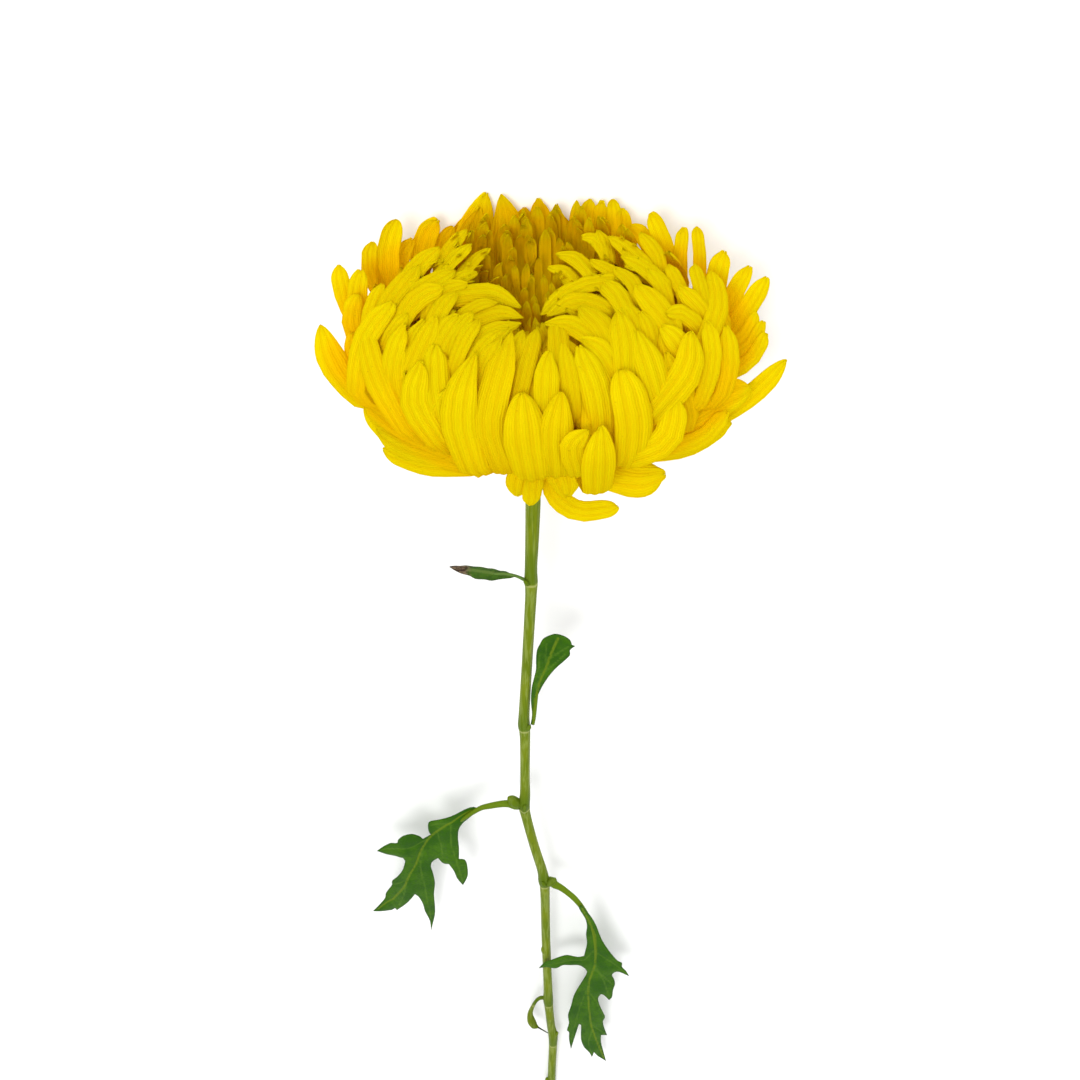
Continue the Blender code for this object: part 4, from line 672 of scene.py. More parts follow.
def rule_petals():
    """Petals in a spiral of golden-angle turns, and more of them in the far wall of the bowl."""
    rnd = random.Random(RULE_SEED)
    made = []
    for i in range(FLORETS + WALL_FLORETS):
        wall = i >= FLORETS
        u = mix(*WALL_LAYERS, (i - FLORETS) / WALL_FLORETS) if wall else i / (FLORETS - 1)
        turn = 180 + WALL_SIDE * math.sin(i * WALL_STEP) if wall else (i * GOLDEN_ANGLE) % 360
        c = math.cos(math.radians(turn))
        fade = 1 - CALMER_INSIDE * u
        launch = math.radians(mix(*LAUNCH, u ** LAUNCH_RISE) + jitter(rnd, TURN_SPREAD))
        out = float(by_side(TIP_OUT, u, c)) + jitter(rnd, TIP_SPREAD) * fade
        up = float(by_side(TIP_UP, u, c)) + jitter(rnd, TIP_SPREAD) * fade
        lean = math.radians(float(by_side(LEAN, u, c)) + jitter(rnd, LEAN_SPREAD))
        swing = jitter(rnd, SWING_SPREAD)
        tip_turn = turn + jitter(rnd, TURN_SPREAD)
        width = float(curve(WIDTH, u)) * rnd.uniform(*WIDTH_SPREAD)
        if c < WALL_FROM and WALL_LAYERS[0] < u < WALL_LAYERS[1]:
            width *= WALL_NARROWER
        root = CENTRE + outward(turn) * mix(*ROOT_OUT, u) + HEAD_UP * mix(*ROOT_UP, u)
        tip = CENTRE + RIGHT * mix(*HEART_RIGHT, u) + outward(tip_turn) * out + HEAD_UP * up
        leave = outward(turn) * math.cos(launch) + HEAD_UP * math.sin(launch)
        arrive = outward(tip_turn + swing) * math.cos(lean) + HEAD_UP * math.sin(lean)
        handles = [root + leave * curve(REACH_ROOT, u), tip - arrive * curve(REACH_TIP, u)]
        guide = lift_off_table([root, *handles, tip])
        line = spaced(bezier(guide, np.linspace(0, 1, 40)), LINE_POINTS)
        # Painted light: deeper florets are brightened where the bowl lies in shade, but not those of the
        # heart
        gold = RULE_PAINTED_LIGHT[0] + RULE_PAINTED_LIGHT[1] * u if u < HEART_LAYER else 0.0
        made.append(petal_form(line, RULE_HIDDEN, width, BLUNT[0] - BLUNT[1] * u, layer=u, gold=gold,
                               roll=jitter(rnd, ROLL_SPREAD)))
    return made


def lift_off_table(guide):
    """Bring a petal in towards the head until its lowest point is just under the table's level."""
    root = guide[0]
    for _ in range(LIFT_TRIES):
        if bezier(guide, np.linspace(0.3, 1, 8))[:, 2].min() >= TABLE_DIP:
            break
        guide = [root] + [root + (q - root) * LIFT_STEP for q in guide[1:]]
    return guide


def read_petals():
    """Petals read from the photograph, in the same terms as the rule's."""
    read = []
    for pixels, width, blunt, lift in SKIN_PETALS:
        spots = []
        for share, (x, y) in zip(np.linspace(0, 1, len(pixels)), pixels):
            spot, to_eye = on_skin(x, y)
            spots.append(spot + to_eye * (mix(-BASE_DEPTH, TIP_RISE, share) + lift))
        read.append((spots, width, blunt, SKIN_FACING))
    for pixels, width, blunt in FREE_PETALS:
        facing = -FREE_FACING if pixels[-1][2] < INNER_FACE_BEYOND else FREE_FACING
        read.append(([from_photo(x, y, -HEAD_FAR, near) for x, y, near in pixels], width, blunt, facing))
    made = []
    for spots, pixels_wide, blunt, facing in read:
        width = pixels_wide * MM_PER_PIXEL
        blunt = min(1.0, blunt + (BLUNTER if width < NARROW else 0.0))
        # Painted light: petals that show their inner face, which lies in shade, are brightened
        gold = INNER_FACE_PAINTED_LIGHT if facing < 0 else 0.0
        made.append(petal_form(*rooted(spots), width, blunt, facing=facing, gold=gold))
    return made


def under_petals():
    """Row of petals that clothes the underside from the calyx to the rim."""
    rnd = random.Random(UNDER_SEED)
    made = []
    for k in range(UNDER_PETALS):
        turn = 360 * k / UNDER_PETALS + jitter(rnd, UNDER_TURN_SPREAD)
        c = math.cos(math.radians(turn))
        rim = float(by_side(RIM, 0.0, c))
        reach = rim * rnd.uniform(*UNDER_REACH)
        spots = []
        for share in UNDER_SHARES:
            radius = reach * share
            up = float(by_side(SKIN_UNDER, radius / rim, c)) + UNDER_DEPTH
            spot = CENTRE + outward(turn) * radius + HEAD_UP * up
            while spot.z < UNDER_CLEAR:
                spot -= outward(turn) * 0.2
            spots.append(tuple(spot))
        width = UNDER_WIDTH * rnd.uniform(*UNDER_WIDTH_SPREAD)
        made.append(petal_form(*rooted(spots), width, BLUNT[0], layer=UNDER_LAYER, gold=UNDER_PAINTED_LIGHT,
                               roll=jitter(rnd, UNDER_ROLL_SPREAD)))
    return made


def all_petals():
    """Every petal of the head; the rule's fill in where none is read from the photograph."""
    read = read_petals()
    tips = np.array([form["line"][-1] for form in read])
    chosen = []
    for form in rule_petals()[FLORETS_SKIPPED:]:
        line, layer = form["line"], form["layer"]
        right, near, _ = in_head(line[-1])
        behind = -near / max(math.hypot(right, near), 0.001)
        room = ROOM[0] if layer < ROOM_CHANGE else ROOM[1]
        shown = behind <= WALL_BEHIND or layer >= WALL_TOP
        if shown and np.linalg.norm(tips - line[-1], axis=1).min() >= room:
            chosen.append(form)
    return chosen + under_petals() + read


class Build:
    """Vertices, faces and per-vertex values gathered for one piece."""

    def __init__(self):
        self.points, self.faces, self.values, self.count = [], [], {}, 0

    def add(self, points, faces, **values):
        points = np.asarray(points, float).reshape(-1, 3)
        self.points.append(points)
        self.faces.extend([tuple(i + self.count for i in f) for f in faces])
        for name, value in values.items():
            value = np.broadcast_to(np.asarray(value, float).ravel(), len(points))
            self.values.setdefault(name, []).append(value)
        self.count += len(points)

    def piece(self, name, look, node):
        """The mesh object; what would dip under the table is eased up to it."""
        points = np.concatenate(self.points) - np.array(ORIGIN)
        low = points[:, 2] <= TABLE_EASED
        points[low, 2] = TABLE_SOFT * np.log1p(np.exp(points[low, 2] / TABLE_SOFT))
        mesh = bpy.data.meshes.new(name)
        mesh.from_pydata((points * MM).tolist(), [], self.faces)
        mesh.update()
        work = bmesh.new()
        work.from_mesh(mesh)
        bmesh.ops.recalc_face_normals(work, faces=work.faces)
        work.to_mesh(mesh)
        work.free()
        for key, parts in self.values.items():
            layer = mesh.attributes.new(key, "FLOAT", "POINT")
            layer.data.foreach_set("value", np.concatenate(parts).astype(np.float32))
        mesh.polygons.foreach_set("use_smooth", [True] * len(mesh.polygons))
        mesh.materials.append(look)
        ob = bpy.data.objects.new(name, mesh)
        bpy.context.scene.collection.objects.link(ob)
        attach(ob, "root")
        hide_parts(node)


@cache
def shell_faces(rows, columns):
    """Faces of a closed shell: an outer grid, an inner grid after it, and the rim between them."""
    size = rows * columns
    faces = []
    for i in range(rows - 1):
        for j in range(columns - 1):
            a = i * columns + j
            b, c, d = a + 1, a + columns + 1, a + columns
            faces.append((a, d, c, b))
            faces.append((size + a, size + b, size + c, size + d))
    rim = list(range(columns))
    rim += [i * columns + columns - 1 for i in range(1, rows)]
    rim += [(rows - 1) * columns + j for j in range(columns - 2, -1, -1)]
    rim += [i * columns for i in range(rows - 2, 0, -1)]
    for a, b in zip(rim, rim[1:] + rim[:1]):
        faces.append((a, b, size + b, size + a))
    return faces


def on_both(value, shape):
    """Values for a shell's outer grid and again for its inner grid."""
    return np.concatenate([np.broadcast_to(value, shape).ravel()] * 2)


def add_shell(build, outer, inner, t, s, **values):
    """Adds a closed shell between two grids of places, with its shares t along and s across."""
    shape = outer.shape[:2]
    points = np.concatenate([outer.reshape(-1, 3), inner.reshape(-1, 3)])
    build.add(points, shell_faces(*shape), along=on_both(t, shape), across=on_both(s, shape), **values)


def along_line(line, t):
    """Places and directions at shares t, of any shape, of an evenly spaced line."""
    known = np.linspace(0, 1, len(line))
    slope = unit(np.gradient(line, axis=0))
    place = np.stack([np.interp(t, known, line[:, k]) for k in range(3)], axis=-1)
    return place, unit(np.stack([np.interp(t, known, slope[:, k]) for k in range(3)], axis=-1))


def petal(build, form, rnd, rows, cap_rows, across):
    """Adds one petal: a channelled, ribbed strap along a line, round or pointed at its hooded tip."""
    line, width, blunt, hidden = (form[key] for key in ("line", "width", "blunt", "hidden"))
    length = np.linalg.norm(np.diff(line, axis=0), axis=1).sum()
    cap = min(CAP_LONGEST, width * mix(*CAP_WIDTHS, blunt) / length)
    body = np.linspace(0, 1 - cap, rows + 1)[:-1]
    round_off = np.linspace(0, math.pi / 2 * 0.97, cap_rows)
    t = np.concatenate([body, 1 - cap + cap * np.sin(round_off)])[:, None]
    half_angle = math.pi / 2 * 0.8
    s = np.sin(np.linspace(-1, 1, across) * half_angle)[None, :] / math.sin(half_angle)
    in_cap = np.clip((t - (1 - cap)) / cap, 0, 1)
    power = mix(*CAP_POWER, blunt)
    share = np.interp(t, [0, 0.4 * hidden, hidden, mix(hidden, 1, 0.45), 1], WIDTH_ALONG)
    share = share * np.maximum((1 - in_cap ** power) ** (1 / power), 0.06)

    notches = s * math.pi * rnd.choice(NOTCHES) + jitter(rnd, 1)
    teeth = rnd.uniform(*TEETH) / length * np.cos(notches)
    place, direction = along_line(line, np.clip(t - teeth * soft_step(0.3, 1.0, in_cap), 0, 1))
    back = back_of(place, direction)
    to_eye = unit(np.array(PHOTO[0]) - line[-1])
    turned = np.abs(form["facing"]) * soft_step(0.4 * hidden, hidden, t)[..., None]
    back = back * (1 - turned) + to_eye * np.sign(form["facing"]) * turned
    back = unit(back - direction * (back * direction).sum(-1, keepdims=True))
    side = np.cross(direction, back)
    angle = np.radians(form["roll"]) * t[..., None]
    lateral = side * np.cos(angle) + back * np.sin(angle)
    outward_side = back * np.cos(angle) - side * np.sin(angle)

    edge_wave = np.sin(t * rnd.uniform(9, 16) + rnd.uniform(0, 6) + 1.7 * s) * np.abs(s) ** 3
    w = width * share * (1 + WAVED * edge_wave)
    cup = curve(CUPPED, t) * rnd.uniform(0.5, 1.4)
    wave = WAVED * width * np.sin(t * rnd.uniform(6, 11) + rnd.uniform(0, 6)) * soft_step(0.3, 0.6, t)
    fold = jitter(rnd, WAVED) * width * s * soft_step(0.4, 0.8, t)
    ribs = RIB_HEIGHT * width * np.cos(s * math.pi * RIBS) * (1 - s ** 4) * soft_step(0.15, 0.5, t)
    ribs = ribs * rnd.uniform(0.6, 1.4) - EDGE_LIFT * width * edge_wave * soft_step(0.3, 0.6, t)
    hood = HOOD * width * in_cap ** 2 * rnd.uniform(0.3, 1.7)
    drop = cup * w * np.abs(s) ** 2.2 + wave * s ** 3 * share + fold + hood
    thick = mix(EDGE_THICK, PETAL_THICK, (1 - s ** 2) ** 0.5) * mix(1.0, 0.4, soft_step(0.6, 1, t))
    thick = thick * min(1.0, width / THINNER_BELOW)
    middle = place + lateral * (s * w / 2)[..., None] - outward_side * drop[..., None]
    outer = middle + outward_side * (thick / 2 + ribs)[..., None]
    inner = middle - outward_side * (thick / 2 - ribs * 0.7)[..., None]
    # Painted shade: share of amber shade by how far the petal lies under the skin, between other petals
    sunk = np.clip((-outside_skin(outer) - SUNK_FROM) / SUNK_DEPTH, 0, 1)
    add_shell(build, outer, inner, t, s, sunk=on_both(sunk, sunk.shape), seed=rnd.random(), gold=form["gold"])


def build_bloom():
    rnd = random.Random(PETAL_SEED)
    rim, outer, inner = Build(), Build(), Build()
    for form in all_petals():
        if form["layer"] > 0:
            petal(inner, form, rnd, *PLAIN_GRID)
        else:
            petal(rim if abs(form["facing"]) == FREE_FACING else outer, form, rnd, *FINE_GRID)
    for build, name in ((rim, "rim"), (outer, "outer"), (inner, "inner")):
        build.piece("bloom_" + name + "_petals", material_petal(), "bloom")


def lathe(build, profile, segments, centre, **values):
    """Turned form about the head's axis; its profile is (radius, height), from end to end of the axis."""
    rings, low, high = profile[1:-1], profile[0][1], profile[-1][1]
    points = [centre + HEAD_UP * low, centre + HEAD_UP * high]
    for radius, height in rings:
        points += [centre + outward(360 * k / segments) * radius + HEAD_UP * height for k in range(segments)]
    faces, last = [], 2 + (len(rings) - 1) * segments
    for k in range(segments):
        after = (k + 1) % segments
        faces += [(0, 2 + after, 2 + k), (1, last + k, last + after)]
        for i in range(2, last, segments):
            faces.append((i + k, i + after, i + segments + after, i + segments + k))
    build.add([tuple(p) for p in points], faces, **values)


def smooth_path(rows, spacing):
    """Rows of numbers, filled in along a Catmull-Rom curve; the first three of each are a place."""
    rows = [np.array(r, float) for r in rows]
    rows = [2 * rows[0] - rows[1]] + rows + [2 * rows[-1] - rows[-2]]
    made = []
    for a, b, c, d in zip(rows, rows[1:], rows[2:], rows[3:]):
        count = max(1, int(np.linalg.norm(c[:3] - b[:3]) / spacing))
        for k in range(count):
            t = k / count
            bend, twist = 2 * a - 5 * b + 4 * c - d, 3 * b - a - 3 * c + d
            made.append(0.5 * (2 * b + (c - a) * t + bend * t * t + twist * t ** 3))
    made.append(rows[-2])
    return np.array(made)


def rod(build, rows, sides, spacing, ribs=0, rib_height=0.0, flat=0.0, **values):
    """Closed rod along rows of (x, y, z, radius), ribbed lengthwise where ribs is given."""
    path = smooth_path(rows, spacing)
    place, radius = path[:, :3], path[:, 3]
    along = unit(np.gradient(place, axis=0))
    side = unit(np.cross(along, np.array(FAR)))
    front = np.cross(side, along)
    turns = np.arange(sides) / sides * 2 * math.pi
    wave = 1 + rib_height * np.cos(ribs * turns)
    ring = side[:, None] * np.cos(turns)[None, :, None]
    ring = ring + front[:, None] * np.sin(turns)[None, :, None] * (1 - flat)
    points = place[:, None] + ring * (radius[:, None] * wave[None])[..., None]
    count = len(path)
    faces = []
    for i in range(count - 1):
        for k in range(sides):
            a, b = i * sides + k, i * sides + (k + 1) % sides
            faces.append((a, b, b + sides, a + sides))
    faces += [(count * sides, (k + 1) % sides, k) for k in range(sides)]
    last = (count - 1) * sides
    faces += [(count * sides + 1, last + k, last + (k + 1) % sides) for k in range(sides)]
    points = np.concatenate([points.reshape(-1, 3), place[:1], place[-1:]])
    length = np.concatenate([[0], np.cumsum(np.linalg.norm(np.diff(place, axis=0), axis=1))])
    along_value = np.concatenate([np.repeat(length, sides), [0, length[-1]]])
    around = np.concatenate([np.tile(np.arange(sides) / sides, count), [0, 0]])
    build.add(points, faces, along=along_value, across=around, **values)


def core_heights(radius, c):
    """Underside and top of the core at a radius, for the cosine of the turn."""
    share = radius / by_side(RIM, 0.0, c)
    under = by_side(SKIN_UNDER, share, c) + CORE_UNDER_DEPTH
    slope = np.clip((radius - CORE_SEAT[0]) / (CORE_SLOPE_END - CORE_SEAT[0]), 0, 1)
    depth = mix(CORE_TOP_DEPTH, CORE_WALL_DEPTH, min(1.0, max(0.0, 0.3 - c) * 1.5) * (radius > 0))
    return mix(CORE_SEAT[1], under, slope), by_side(SKIN_TOP, share, c) - depth


def build_core():
    """Solid that follows the bloom's skin from within."""
    core = Build()
    points = [head_point(0, 0, CORE_SEAT[1]), head_point(0, 0, float(core_heights(0.0, 1.0)[1]))]
    rows = len(CORE_UNDER_SHARES) + len(CORE_TOP_SHARES)
    for k in range(CORE_TURNS):
        turn = 2 * math.pi * k / CORE_TURNS
        c = math.cos(turn)
        reach = float(by_side(RIM, 0.0, c)) - mix(CORE_SIDE_DEPTH, CORE_FAR_DEPTH, max(-c, 0.0))
        side = []
        for share in CORE_UNDER_SHARES:
            radius = mix(CORE_SEAT[0], reach, share)
            under, top = core_heights(radius, c)
            side.append((radius, (under + top) / 2 if share == 1.0 else under))
        side += [(reach * share, core_heights(reach * share, c)[1]) for share in CORE_TOP_SHARES]
        points += [head_point(math.sin(turn) * radius, c * radius, float(up)) for radius, up in side]
    faces = []
    for k in range(CORE_TURNS):
        a, b = 2 + k * rows, 2 + (k + 1) % CORE_TURNS * rows
        faces += [(0, b, a), (a + rows - 1, b + rows - 1, 1)]
        faces += [(a + i, b + i, b + i + 1, a + i + 1) for i in range(rows - 1)]
    # The core is given the full painted light and the full amber painted shade of a place deep in the bloom
    core.add([tuple(p) for p in points], faces, along=0.5, across=0.0, sunk=1.0, seed=0.5, gold=1.0)
    core.piece("bloom_core", material_petal(), "bloom")


def build_calyx():
    """Green cup under the bloom with three rows of overlapping bracts."""
    rnd = random.Random(BRACT_SEED)
    calyx = Build()
    cup = []
    for (r0, h0), (r1, h1) in zip(CALYX_CUP, CALYX_CUP[1:]):
        cup += [(mix(r0, r1, k / 3), mix(h0, h1, k / 3)) for k in range(3)]
    lathe(calyx, cup + [CALYX_CUP[-1]], 36, CENTRE, along=0.0, across=0.0, seed=0.5)
    s = np.linspace(-1, 1, BRACT_GRID[1])[None, :]
    t = np.linspace(0, 1, BRACT_GRID[0])[:, None]
    up = np.array(HEAD_UP)
    for count, root, bulge, tip, width, first in BRACT_ROWS:
        for k in range(count):
            turn = first + 360 * k / count + jitter(rnd, UNDER_TURN_SPREAD)
            out = np.array(outward(turn))
            across = np.cross(up, out)
            tt = t - 0.08 * s ** 2 * t
            q = 1 - tt
            radius = root[0] * q * q + bulge[0] * 2 * q * tt + tip[0] * tt * tt
            height = root[1] * q * q + bulge[1] * 2 * q * tt + tip[1] * tt * tt
            wide = width * curve(BRACT_OUTLINE, t)
            normal = unit(out * 1.0 - up * 0.8)
            middle = np.array(CENTRE) + out * radius[..., None] + up * height[..., None]
            cupped = BRACT_CUP * wide * s ** 2
            keel = BRACT_KEEL * np.exp(-(s / 0.18) ** 2) * (1 - t)
            middle = middle + across * (s * wide / 2)[..., None] - normal * cupped[..., None]
            middle = middle + normal * keel[..., None]
            thick = mix(*BRACT_THICK, 1 - s ** 2) * np.ones_like(t)
            half = normal * (thick / 2)[..., None]
            add_shell(calyx, middle + half, middle - half, t, s, seed=rnd.random())
    calyx.piece("calyx_bracts", material_bract(), "calyx")


def photo_row(x, y, far, radius):
    """Row of a rod where a pixel's sight line is far of the bloom's centre."""
    return (*from_photo(x, y, FAR, far), radius)


def beside_stem(y, side, radius):
    """First rows of a stalk: square to the stem's swelling on a row of the picture, just clear of it."""
    x, y, z, stem_radius = photo_row(*next(row for row in STEM if row[1] == y))
    return [(*(Vector((x, y, z)) + RIGHT * side * (stem_radius + GAP + reach)), radius)
            for reach in (-STALK_FOOT, STALK_FOOT)]


def stalk_path(start, rows):
    return beside_stem(*start) + [photo_row(*row) for row in rows]


def build_stem():
    """Ribbed stem with swollen nodes, buds in the leaf axils and old leaf scars."""
    stem = Build()
    rows = [(*head_point(0, 0, -35 - GAP), 2.4), (*head_point(-0.6, 0, -40), 2.4)]
    rows += [photo_row(*row) for row in STEM]
    rows.append((*plant_point(STEM_END_RIGHT, STEM_LENGTH, 0.0), STEM_END_HEIGHT))
    rod(stem, rows, STEM_SIDES, STEM_STEP, ribs=STEM_RIBS, rib_height=STEM_RIB_HEIGHT, seed=0.3)
    for (foot, tip), size in BUDS:
        a, b = from_photo(*foot[:2], FAR, foot[2]), from_photo(*tip[:2], FAR, tip[2])
        rod(stem, [(*(a + (b - a) * t), size * k) for t, k in BUD_SHAPE], 12, 0.6, seed=0.8)
    stem.piece("stem_ribbed", material_stem(), "stem")


def on_surface(x, y, far_of):
    """Right and below of the place where a pixel's sight line meets a leaf's surface."""
    right, below = 0.0, 200.0
    for _ in range(9):
        place = from_photo(x, y, FAR, far_of(right, below)) - CENTRE
        right, below = place.dot(RIGHT), -place.dot(UP)
    return right, below


def rounded_outline(points):
    """Outline with two more points a side along a smooth curve, but with its sharp corners kept."""
    count = len(points)
    points = [Vector(p) for p in points]
    slopes = []
    for i, p in enumerate(points):
        before, after = points[i - 1], points[(i + 1) % count]
        bend = (p - before).angle(after - p, 0.0)
        slopes.append(Vector((0, 0)) if math.degrees(bend) > SHARP_TURN else (after - before) / 2)
    made = []
    for i, p in enumerate(points):
        q = points[(i + 1) % count]
        a, b = slopes[i], slopes[(i + 1) % count]
        reach = (q - p).length
        a = a.normalized() * min(a.length, reach) if a.length > 0 else (q - p) * 0.6
        b = b.normalized() * min(b.length, reach) if b.length > 0 else (q - p) * 0.6
        for t in (0.0, 1 / 3, 2 / 3):
            h = (2 * t ** 3 - 3 * t * t + 1, t ** 3 - 2 * t * t + t, 3 * t * t - 2 * t ** 3, t ** 3 - t * t)
            made.append(p * h[0] + a * h[1] + q * h[2] + b * h[3])
    return made


def inside(points, outline):
    """Which points lie within a closed outline."""
    within = np.zeros(len(points), bool)
    x, y = points[:, 0], points[:, 1]
    for a, b in zip(outline, outline[1:] + outline[:1]):
        crosses = (a[1] > y) != (b[1] > y)
        with np.errstate(divide="ignore", invalid="ignore"):
            reach = a[0] + (y - a[1]) / (b[1] - a[1]) * (b[0] - a[0])
        within ^= crosses & (x < reach)
    return within


def to_lines(points, lines):
    """Distance from each point to the nearest of some polylines, and that to the first one alone."""
    best = []
    for line in lines:
        near = np.full(len(points), 1e9)
        for a, b in zip(line, line[1:]):
            a, d = np.array(a), np.array(b) - np.array(a)
            t = np.clip(((points - a) @ d) / (d @ d), 0, 1)
            near = np.minimum(near, np.linalg.norm(points - a - t[:, None] * d, axis=1))
        best.append(near)
    return np.min(best, axis=0), best[0]


def leaf_blade(build, edge, veins, place, grain, thickness, seed):
    """Cut leaf blade: outline and veins in the blade's own two sizes, bent by place(u, v)."""
    outline = rounded_outline(edge)
    loop = [tuple(p) for p in outline]
    low, high = np.min(loop, axis=0), np.max(loop, axis=0)
    rnd = random.Random(LEAF_SEED)
    grid = [(x + rnd.uniform(-0.2, 0.2) * grain, y + (0.5 * grain if i % 2 else 0.0))
            for i, x in enumerate(np.arange(low[0], high[0], grain))
            for y in np.arange(low[1], high[1], grain)]
    grid = np.array(grid)
    margin, _ = to_lines(grid, [loop + loop[:1]])
    grid = grid[inside(grid, loop) & (margin > 0.45 * grain)]
    flat = [Vector(p) for p in loop] + [Vector(p) for p in grid]
    ring = [(i, (i + 1) % len(loop)) for i in range(len(loop))]
    points, _, cells, _, _, _ = delaunay_2d_cdt(flat, ring, [list(range(len(loop)))], 1, 0.00001)
    points = np.array([tuple(p) for p in points])
    to_vein, to_rib = to_lines(points, veins)
    to_edge, _ = to_lines(points, [loop + loop[:1]])
    swell = QUILT * (1 - np.exp(-(to_vein / QUILT_FROM_VEIN) ** 2)) * np.clip(to_edge / QUILT_FROM_EDGE, 0, 1)
    groove = GROOVE * np.exp(-(to_rib / GROOVE_WIDE) ** 2)
    keel = KEEL * np.exp(-(to_rib / KEEL_WIDE) ** 2)
    middle = np.array([tuple(place(u, v)) for u, v in points])
    lift = -np.array(FAR)
    thick = thickness * mix(0.4, 1.0, np.clip(to_edge / THIN_EDGE, 0, 1))
    top = middle + lift * (swell - groove + thick / 2)[:, None]
    under = middle + lift * (swell - groove * 0.2 - thick / 2 - keel)[:, None]
    size = len(points)
    edges = {}
    for cell in cells:
        for a, b in zip(cell, list(cell[1:]) + [cell[0]]):
            edges.setdefault((min(a, b), max(a, b)), []).append((a, b))
    first = cells[0]
    a, b, c = (top[i] for i in first[:3])
    faces_up = np.dot(np.cross(b - a, c - a), lift) > 0
    cells = [tuple(c) if faces_up else tuple(reversed(c)) for c in cells]
    faces = cells + [tuple(size + i for i in reversed(c)) for c in cells]
    for uses in edges.values():
        if len(uses) == 1:
            a, b = uses[0] if faces_up else uses[0][::-1]
            faces.append((b, a, size + a, size + b))
    build.add(np.concatenate([top, under]), faces, along=on_both(to_edge, size),
              across=on_both(to_vein, size), rib=on_both(to_rib, size), seed=seed)


def photo_leaf(node, edge, veins, far_of, stalk, look, seed):
    """Leaf whose outline and veins are pixels, laid on the surface that far_of gives."""
    leaf = Build()

    def laid(row):
        return [on_surface(x, y, far_of) for x, y in row]

    def place(right, below):
        return plant_point(right, below, far_of(right, below))

    leaf_blade(leaf, laid(edge), [laid(vein) for vein in veins], place, GRAIN, LEAF_THICK, seed)
    rod(leaf, stalk, 14, 0.8, ribs=3, rib_height=0.06, flat=0.15, seed=seed, rib=0.0)
    leaf.piece(node + "_blade", look, node)


def far_of_leaf_2(right, below):
    fold = abs(right - mix(-1.4, 4.6, (150 - below) / 34))
    return -1.2 - 0.35 * fold + 0.02 * (150 - below)


def far_of_leaf_3(right, below):
    droop = (below - 210) / 70
    return -1.5 + 5.0 * droop * droop + math.sin((right + 30) * 0.35) * 1.1


def far_of_leaf_4(right, below):
    droop = (below - 288) / 92
    fold = 0.10 * abs(right - 21.5)
    return -4.2 + 1.8 * droop * droop - 0.2 * fold + 0.8 * math.sin(right * 0.45) * min(droop * 2, 1)


def leaf_1_place(right, far):
    """Curled dry leaf seen edge-on; far is measured across the blade."""
    along = (-5.1 - right) / 23.9
    below = 88.8 - 4.6 * along + 0.05 * (far + 0.5) ** 2 * (1 + along)
    return plant_point(right, below, far)


def build_leaves():
    green, dry = material_leaf(), material_dry_leaf()
    leaf = Build()
    leaf_blade(leaf, LEAF_1_EDGE, LEAF_1_VEINS, leaf_1_place, 0.6, 0.35, 0.2)
    rod(leaf, [photo_row(*row) for row in LEAF_1_STALK], 12, 0.7, seed=0.2, rib=0.0)
    leaf.piece("leaf_1_dry", dry, "leaf_1")
    stalk_2 = [photo_row(*row) for row in LEAF_2_STALK]
    stalk_3, stalk_4 = stalk_path(*LEAF_3_STALK), stalk_path(*LEAF_4_STALK)
    for node, edge, veins, far_of, stalk, seed in (
            ("leaf_2", LEAF_2_EDGE, LEAF_2_VEINS, far_of_leaf_2, stalk_2, 0.3),
            ("leaf_3", LEAF_3_EDGE, LEAF_3_VEINS, far_of_leaf_3, stalk_3, 0.6),
            ("leaf_4", LEAF_4_EDGE, LEAF_4_VEINS, far_of_leaf_4, stalk_4, 0.8)):
        photo_leaf(node, edge, veins, far_of, stalk, green, seed)


def build_side_shoot():
    """Short withered shoot that hangs from the fifth node, thick in its middle and thin at its end."""
    shoot = Build()
    rod(shoot, stalk_path(*SHOOT), 12, 0.6, ribs=3, rib_height=0.1, seed=0.7, dry=0.15)
    rod(shoot, [photo_row(*row) for row in SHOOT_TAIL], 8, 0.6, seed=0.7, dry=1.0)
    shoot.piece("side_shoot_withered", material_stem(), "side_shoot")


